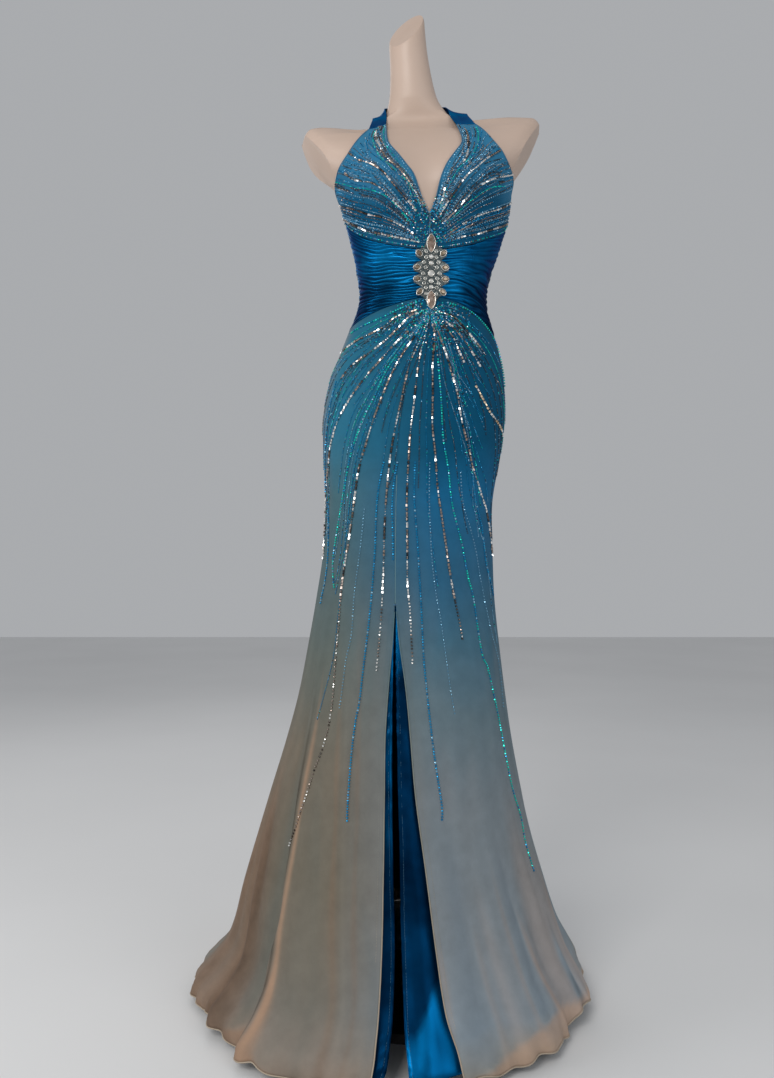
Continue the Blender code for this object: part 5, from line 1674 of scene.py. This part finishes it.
dice = random.Random(41)
strands = [(layer, kind, toEdge(rows) if layer == "cup" else rows) for layer, kind, rows in strands]
for layer, kind, rows in strands:
    start = rows[0]
    central = layer == "skirt" and 1060 < start[1] < 1170 and abs(start[0]) < 30
    sewStrand(layer, kind, toFan(rows, 0.40) if central and kind == "silver" else rows, dice)
    if central:
        # small beads carry the strand on up to the fan
        sewStrand(layer, "mixed", (start, toFan(rows)[0]), dice)
fanned = [
    (layer, kind, toFan(rows)) for layer, kind, rows in strands if layer == "skirt" and rows[0][1] > 1060
]
for layer, chosen, shares in (
    ("skirt", strands, (0.2, 0.5, 0.8)),
    ("skirt", fanned, (0.35, 0.65)),
    ("cup", strands, (0.2, 0.4, 0.6, 0.8)),
):
    order = fanOrder(layer, chosen)
    for first, second in zip(order, order[1:]):
        crossing = first[2][0][0] * second[2][0][0]
        if abs(first[2][0][1] - second[2][0][1]) > 140 or crossing < (-60 if layer == "skirt" else 0):
            continue
        for share in shares:
            sewBetween(layer, first[2], second[2], share + dice.uniform(-0.05, 0.05), dice)

# fine lines that sweep round to the hips on both sides
for rows in (
    ((-14, 1176), (-36, 1158), (-56, 1136), (-74, 1108), (-86, 1068)),
    ((-16, 1166), (-40, 1132), (-60, 1096), (-76, 1044), (-86, 980)),
    ((-18, 1156), (-42, 1110), (-60, 1062), (-74, 1000), (-84, 920)),
    ((-18, 1146), (-42, 1092), (-58, 1036), (-72, 962), (-80, 880)),
    ((-14, 1172), (-38, 1146), (-58, 1118), (-75, 1080), (-86, 1030)),
    ((-19, 1134), (-40, 1076), (-56, 1016), (-68, 950), (-76, 860), (-78, 790)),
    ((22, 1180), (44, 1154), (62, 1118), (76, 1070), (84, 1000)),
    ((24, 1170), (44, 1138), (60, 1096), (74, 1030), (82, 950)),
    ((24, 1160), (42, 1120), (58, 1070), (70, 1000), (80, 910)),
    ((22, 1150), (40, 1104), (54, 1052), (66, 980), (76, 900)),
    ((20, 1140), (36, 1090), (50, 1034), (62, 964), (72, 880), (78, 800)),
):
    sewFine(alongStrand("skirt", rows, beads["threadRadius"] * 0.6), dice)

# rows of small beads along the edges of the cups
for side in ("Left", "Right"):
    edges = cupEdges[side]
    for points, kind in (
        (edges[18:, 2], "clear"), (edges[1], "mixed"), (edges[3], "fine"), (edges[18:, 5], "fine"),
    ):
        path = evenPath(points, 0.003)
        outward = np.array([tuple(cupTree.find_nearest(Vector(place))[1]) for place in path])
        lengths = lengthsAlong(path)
        table = np.column_stack((lengths, path + outward * beads["edgeLift"], outward))
        if kind == "fine":
            sewFine(table, dice)
        else:
            names, wheres = seedRun(kind, lengths[-1], dice)
            sewBeads(names, *placesAt(table, np.array(wheres)))

# short strands behind the side seams, carried round plainly
for angle, top, low in (
    (98.0, 1118.0, 900.0), (108.0, 1112.0, 860.0), (-98.0, 1140.0, 930.0), (-109.0, 1132.0, 850.0),
):
    rows = [(angle, top), (angle * 1.02, blend(top, low, 0.5)), (angle * 1.03, low)]
    sewStrand("skirt", "silver" if abs(angle) < 100 else "blue", rows, dice)

# loose beads thick round the brooch
for layer, (fanAngle, fanHeight), count, spread, shares in (
    ("skirt", beads["fan"], beads["scatter"], 15.0, (0.06, 0.20, 0.38, 0.24, 0.12)),
    ("cup", beads["neckFan"], beads["neckScatter"], 8.0, (0.04, 0.15, 0.40, 0.31, 0.10)),
):
    names = []
    spots = []
    while len(names) < count:
        angle = dice.gauss(fanAngle, spread)
        above = dice.triangular(-0.085, 0.018, 0.0) if layer == "skirt" else dice.uniform(-0.026, 0.050)
        height = fanHeight + above
        if layer == "skirt" and height > seamHeight("skirtTop", angle) - 0.003:
            continue
        if layer == "cup" and not inCup(angle, height):
            continue
        names.append((dice.choices(mixedColours, shares)[0], "seed"))
        spots.append((angle, height, dice.uniform(-1.0, 1.0), dice.uniform(-1.0, 1.0)))
    spots = np.array(spots)
    places, normals = clothPlaces(layer, spots[:, 0], spots[:, 1], beads["seedRadius"] * 0.6)
    sewBeads(names, places, np.column_stack((spots[:, 2], np.full(count, 0.1), spots[:, 3])), normals)

for colour in ("silver", "taupe", "dark", "champagne", "emerald", "blue", "clear"):
    made = []
    for (rowColour, kind), rows in beadPlaces.items():
        if rowColour == colour:
            places, alongs, normals = [np.array(column) for column in zip(*rows)]
            made.append(copiesAt(colour + kind, beadShapes[kind], places, alongs, normals))
    finished(joined(colour + "Beads", made), finishes[colour + "Bead"], "crystal")
print("beads ready")


# Seam lines, stitches, the bar at the top of the slit and the hidden zip
sewing = {
    "dash": 0.0026,
    "dashPitch": 0.0042,
    "dashWidth": 0.0004,
    "slitInset": 0.0085,
    "liningInset": 0.0055,
    "seamRadius": 0.0006,
    "seamSplit": 0.905,
    "zipLow": 1.02,
    "zipTurn": 0.55,
    "pullHeight": 1.264,
}


def dashesAlong(table):
    wheres = np.arange(sewing["dashPitch"], table[-1, 0] - sewing["dashPitch"], sewing["dashPitch"])
    return list(zip(*placesAt(table, wheres)))


def insetTable(points, side, inset):
    # a line a little way in from one edge of a panel's points, for stitches
    edge = points[:, side]
    inner = points[:, side + (1 if side == 0 else -1) * 6]
    step = inner - edge
    step = step / np.linalg.norm(step, axis=1, keepdims=True)
    line = edge + step * inset
    upward = np.gradient(line, axis=0)
    normals = np.cross(step, upward) if side == 0 else np.cross(upward, step)
    normals = normals / np.linalg.norm(normals, axis=1, keepdims=True)
    return np.column_stack((lengthsAlong(line), line + normals * 0.00015, normals))


def barShape(length, width, height):
    deselectAll()
    bpy.ops.mesh.primitive_cube_add(size=1.0)
    bar = bpy.context.object
    bar.scale = (length, width, height)
    bpy.ops.object.transform_apply(location=False, rotation=False, scale=True)
    return shapeOf(bar)


dashShape = barShape(sewing["dash"], sewing["dashWidth"], 0.0003)
for name, sources, finish, slotName in (
    ("slitStitches", (
        (overlayEdges["FrontLeft"][:slitTopRow], -1, sewing["slitInset"]),
        (overlayEdges["FrontRight"][:slitTopRow], 0, sewing["slitInset"]),
    ), "hemRoll", "chiffon"),
    ("liningStitches", (
        (liningEdges["FrontLeft"][:84], -1, sewing["liningInset"]),
        (liningEdges["FrontRight"][:84], 0, sewing["liningInset"]),
    ), "blueThread", "blue_satin"),
):
    rows = []
    for points, side, inset in sources:
        rows += dashesAlong(insetTable(points, side, inset))
    places, alongs, normals = [np.array(column) for column in zip(*rows)]
    finished(copiesAt(name, dashShape, places, alongs, normals), finishes[finish], slotName)


def lineUp(angle, low, high, count, out, folds=overlayFolds):
    # a line up the cloth at one angle, or along the centre front seam where none is given
    heights = np.linspace(low, high, count)
    if angle is None:
        angle = angleAt(smoothAt(centreSeam, 1, heights), heights)
    return facePoints(angle, heights, out, folds)


seamFace = cloth["overlayFace"] - 0.0003
seamPaths = []
for angle in (cloth["sideAngle"], -cloth["sideAngle"]):
    seamPaths.append(lineUp(angle, 0.03, float(seamHeight("skirtTop", angle)) - 0.002, 240, seamFace))
seamPaths.append(lineUp(180.0, 0.03, sewing["zipLow"], 200, seamFace))
seamPaths.append(lineUp(None, cloth["slitTop"] - 0.006, sewing["seamSplit"], 60, seamFace))
upperSeam = [lineUp(None, sewing["seamSplit"], 1.196, 90, cloth["overlayFace"] - 0.0004)]
finished(tubeAlong("upperFrontSeam", upperSeam, sewing["seamRadius"], 1), finishes["chiffon"], "chiffon")
finished(tubeAlong("skirtSeams", seamPaths, sewing["seamRadius"], 1), finishes["seamThread"], "chiffon")

zipPaths = []
for angle in (180.0 - sewing["zipTurn"], 180.0 + sewing["zipTurn"]):
    zipPaths.append(lineUp(angle, sewing["zipLow"], 1.112, 60, cloth["overlayFace"] - 0.0002))
    zipPaths.append(lineUp(angle, 1.122, 1.280, 90, cloth["midriffFace"] + 0.0010, None))
finished(tubeAlong("zipFolds", zipPaths, 0.0009, 2), finishes["blueThread"], "blue_satin")
pullPlace, pullNormal = spotOn(180.0, sewing["pullHeight"], cloth["midriffFace"] + 0.0030)
pullShape = barShape(0.016, 0.0042, 0.0009)
zipPull = copiesAt("zipPull", pullShape, pullPlace, np.array([(0.0, 0.0, 1.0)]), pullNormal)
applyModifier(zipPull, "BEVEL", width=0.0004, segments=2)
finished(zipPull, finishes["steel"], "steel")

barHeight = cloth["slitTop"] - 0.008
barAngle = angleAt(smoothAt(slit, slitColumns["overlayLeft"], barHeight), barHeight)
barPlace, barNormal = spotOn(barAngle, barHeight, cloth["overlayFace"] + 0.0003, overlayFolds)
stitchBar = copiesAt(
    "slitStitchBar", barShape(0.0055, 0.0016, 0.0007), barPlace, np.array([(1.0, 0.0, 0.0)]), barNormal
)
finished(stitchBar, finishes["blueThread"], "chiffon")
print("sewing ready")


# Brooch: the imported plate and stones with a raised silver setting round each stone
brooch = {
    "across": 0.0258,
    "height": 1.243,
    "seat": 0.0068,
    "pinch": 0.45,
    "rim": 0.00062,
    "navetteRim": 0.0008,
    "roundRim": 0.0006,
    "clawHeight": 0.0014,
    "clawShare": 0.94,
    "clawRadius": 0.0008,
    "grainHeight": 0.0003,
    # across, up, length, width, turn, lift, in mm
    "navettes": (
        (0.0, 47.3, 29.0, 13.6, 0.0, 0.0), (0.0, -46.6, 30.5, 13.6, 0.0, 0.45),
        (-19.5, 31.5, 12.4, 8.6, -45.0, 0.0), (19.5, 31.5, 12.4, 8.6, 45.0, 0.0),
        (-22.5, 8.5, 12.0, 8.6, 90.0, 0.0), (22.5, 8.5, 12.0, 8.6, 90.0, 0.0),
        (-22.5, -11.0, 12.0, 8.6, 90.0, 0.0), (22.5, -11.0, 12.0, 8.6, 90.0, 0.0),
        (-18.3, -33.0, 12.4, 8.6, 45.0, 0.0), (18.3, -33.0, 12.4, 8.6, -45.0, 0.0),
    ),
    # across, up, radius, in mm
    "rounds": (
        (0.0, 25.6, 3.1), (0.0, 15.0, 3.1), (0.0, -1.8, 4.8), (0.0, -14.5, 3.1), (0.0, -25.2, 3.0),
        (8.2, 34.3, 2.4), (8.2, 24.6, 2.4), (11.7, 16.4, 2.5), (8.8, 8.2, 2.5), (13.2, -1.8, 2.5),
        (9.6, -10.6, 2.4), (11.6, -18.4, 2.4), (8.6, -26.0, 2.3), (8.0, -36.4, 2.2),
    ),
    "grains": (
        (4.6, 20.3), (4.4, 10.4), (5.6, 4.6), (5.9, -6.6), (4.9, -18.6), (4.4, -30.6), (5.2, 30.2),
        (15.6, 11.6), (16.2, 3.4), (16.0, -14.4), (13.2, 27.6), (14.0, 34.8), (12.6, -29.6),
        (14.6, -22.8), (16.6, -6.6), (3.6, 37.0),
    ),
}


def broochFrame(acrossMm, upMm, out):
    height = brooch["height"] + upMm / 1000.0
    angle = float(angleAt(brooch["across"] + acrossMm / 1000.0, height))
    place, outward = [row[0] for row in spotOn(angle, height, out)]
    upright = np.array((0.0, 0.0, 1.0))
    upright = upright - outward * upright.dot(outward)
    upright = upright / np.linalg.norm(upright)
    return place, np.cross(upright, outward), upright, outward


def rimPath(acrossMm, upMm, lengthMm, widthMm, turn, liftMm, pointed, high):
    place, sideways, upright, outward = broochFrame(acrossMm, upMm, brooch["seat"] + liftMm / 1000.0 + high)
    around = np.linspace(0.0, math.tau, 29 if pointed else 17)
    x = 0.5 * np.cos(around)
    y = 0.5 * np.sin(around)
    if pointed:
        x = x * (np.abs(x) / 0.5) ** brooch["pinch"]
    x = x * (widthMm + 0.5) / 1000.0
    y = y * (lengthMm + 0.8) / 1000.0
    turned = -math.radians(turn)
    side = x * math.cos(turned) - y * math.sin(turned)
    up = x * math.sin(turned) + y * math.cos(turned)
    return place + side[:, None] * sideways + up[:, None] * upright


rims = []
for row in brooch["navettes"]:
    rims.append(rimPath(*row, True, brooch["navetteRim"]))
mirroredRounds = []
for acrossMm, upMm, radiusMm in brooch["rounds"]:
    for side in ((1.0, -1.0) if acrossMm > 0.0 else (1.0,)):
        mirroredRounds.append((side * acrossMm, upMm, radiusMm))
for acrossMm, upMm, radiusMm in mirroredRounds:
    size = 2.0 * radiusMm
    rims.append(rimPath(acrossMm, upMm, size - 0.3, size, 0.0, 0.0, False, brooch["roundRim"]))
finished(tubeAlong("broochSettings", rims, brooch["rim"], 2), finishes["silver"], "silver")

claws = []
clawSeat = brooch["seat"] + brooch["clawHeight"]
for acrossMm, upMm, radiusMm in mirroredRounds:
    place, sideways, upright, outward = broochFrame(acrossMm, upMm, clawSeat)
    for quarter in range(4):
        turn = math.radians(45.0 + 90.0 * quarter)
        reach = radiusMm / 1000.0 * brooch["clawShare"]
        aside = sideways * math.cos(turn) + upright * math.sin(turn)
        claws.append((place + aside * reach, sideways, outward))
for acrossMm, upMm, lengthMm, widthMm, turn, liftMm in brooch["navettes"]:
    place, sideways, upright, outward = broochFrame(acrossMm, upMm, clawSeat + liftMm / 1000.0)
    turned = -math.radians(turn)
    along = -sideways * math.sin(turned) + upright * math.cos(turned)
    for end in (-1.0, 1.0):
        claws.append((place + along * end * lengthMm / 2000.0, sideways, outward))
for acrossMm, upMm in brooch["grains"]:
    for side in (1.0, -1.0):
        spot = broochFrame(side * acrossMm, upMm, brooch["seat"] + brooch["grainHeight"])
        claws.append((spot[0], spot[1], spot[3]))
deselectAll()
bpy.ops.mesh.primitive_uv_sphere_add(segments=8, ring_count=6, radius=brooch["clawRadius"])
places, alongs, normals = [np.array(column) for column in zip(*claws)]
clawPiece = copiesAt("broochClaws", shapeOf(bpy.context.object), places, alongs, normals, smooth=True)
finished(clawPiece, finishes["silver"], "silver")

# clear stones down the middle of the brooch, smoky ones round them
nodeFinishes = {
    "stone_top": "champagneStone", "stone_bottom": "champagneStone",
    "brooch_plate": "darkSilver", "stand_pole": "steel", "stand_base": "blackPaint",
}
for name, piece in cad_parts.items():
    if name.startswith("stone_side"):
        nodeFinishes[name] = "oliveStone"
    elif name.startswith("stone_round"):
        across = sum(corner[0] for corner in piece.bound_box) / 8.0 - brooch["across"]
        nodeFinishes[name] = "crystal" if abs(across) < 0.002 else "greyStone"
for name, finish in nodeFinishes.items():
    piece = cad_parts[name]
    piece.data.materials.clear()
    piece.data.materials.append(finishes[finish])
print("brooch and stand ready")


# Camera, light and floor
camera = {"place": (-0.04725, -1.64, 0.80), "lens": 31.29, "sensor": 36.0}
bpy.ops.object.camera_add(location=camera["place"], rotation=(math.radians(90.0), 0.0, 0.0))
lens = bpy.context.object.data
lens.sensor_fit = "VERTICAL"
lens.sensor_height = camera["sensor"]
lens.lens = camera["lens"]
bpy.context.scene.camera = bpy.context.object

lights = (
    ("key", (-1.3, -2.6, 2.5), 1.4, 46.0, (1.0, 0.98, 0.95)),
    ("side", (-2.6, -0.7, 1.3), 1.2, 20.0, (1.0, 1.0, 1.0)),
    ("fill", (1.7, -2.2, 1.5), 1.8, 17.0, (0.95, 0.98, 1.0)),
    ("rim", (-0.9, 2.2, 2.4), 1.5, 9.0, (1.0, 1.0, 1.0)),
)
for name, place, size, power, colour in lights:
    bpy.ops.object.light_add(type="AREA", location=place)
    lamp = bpy.context.object
    lamp.name = name
    lamp.data.size = size
    lamp.data.energy = power
    lamp.data.color = colour
    lamp.rotation_euler = (Vector((0.0, 0.0, 0.9)) - Vector(place)).to_track_quat("-Z", "Y").to_euler()

world = bpy.data.worlds.new("paleRoom")
bpy.context.scene.world = world
world.use_nodes = True
world.node_tree.nodes["Background"].inputs["Color"].default_value = (0.80, 0.82, 0.85, 1.0)
world.node_tree.nodes["Background"].inputs["Strength"].default_value = 0.5

bpy.ops.mesh.primitive_plane_add(size=12.0)
floor = bpy.context.object
floor.name = "floor"
floor.data.materials.append(
    plainFinish("paleFloor", (0.74, 0.74, 0.74), (0.70, 0.70, 0.70), 0.8, (0.6, 0.8), 30.0, 0.0005)
)
bpy.context.scene.view_settings.view_transform = "Standard"

print("scene ready")
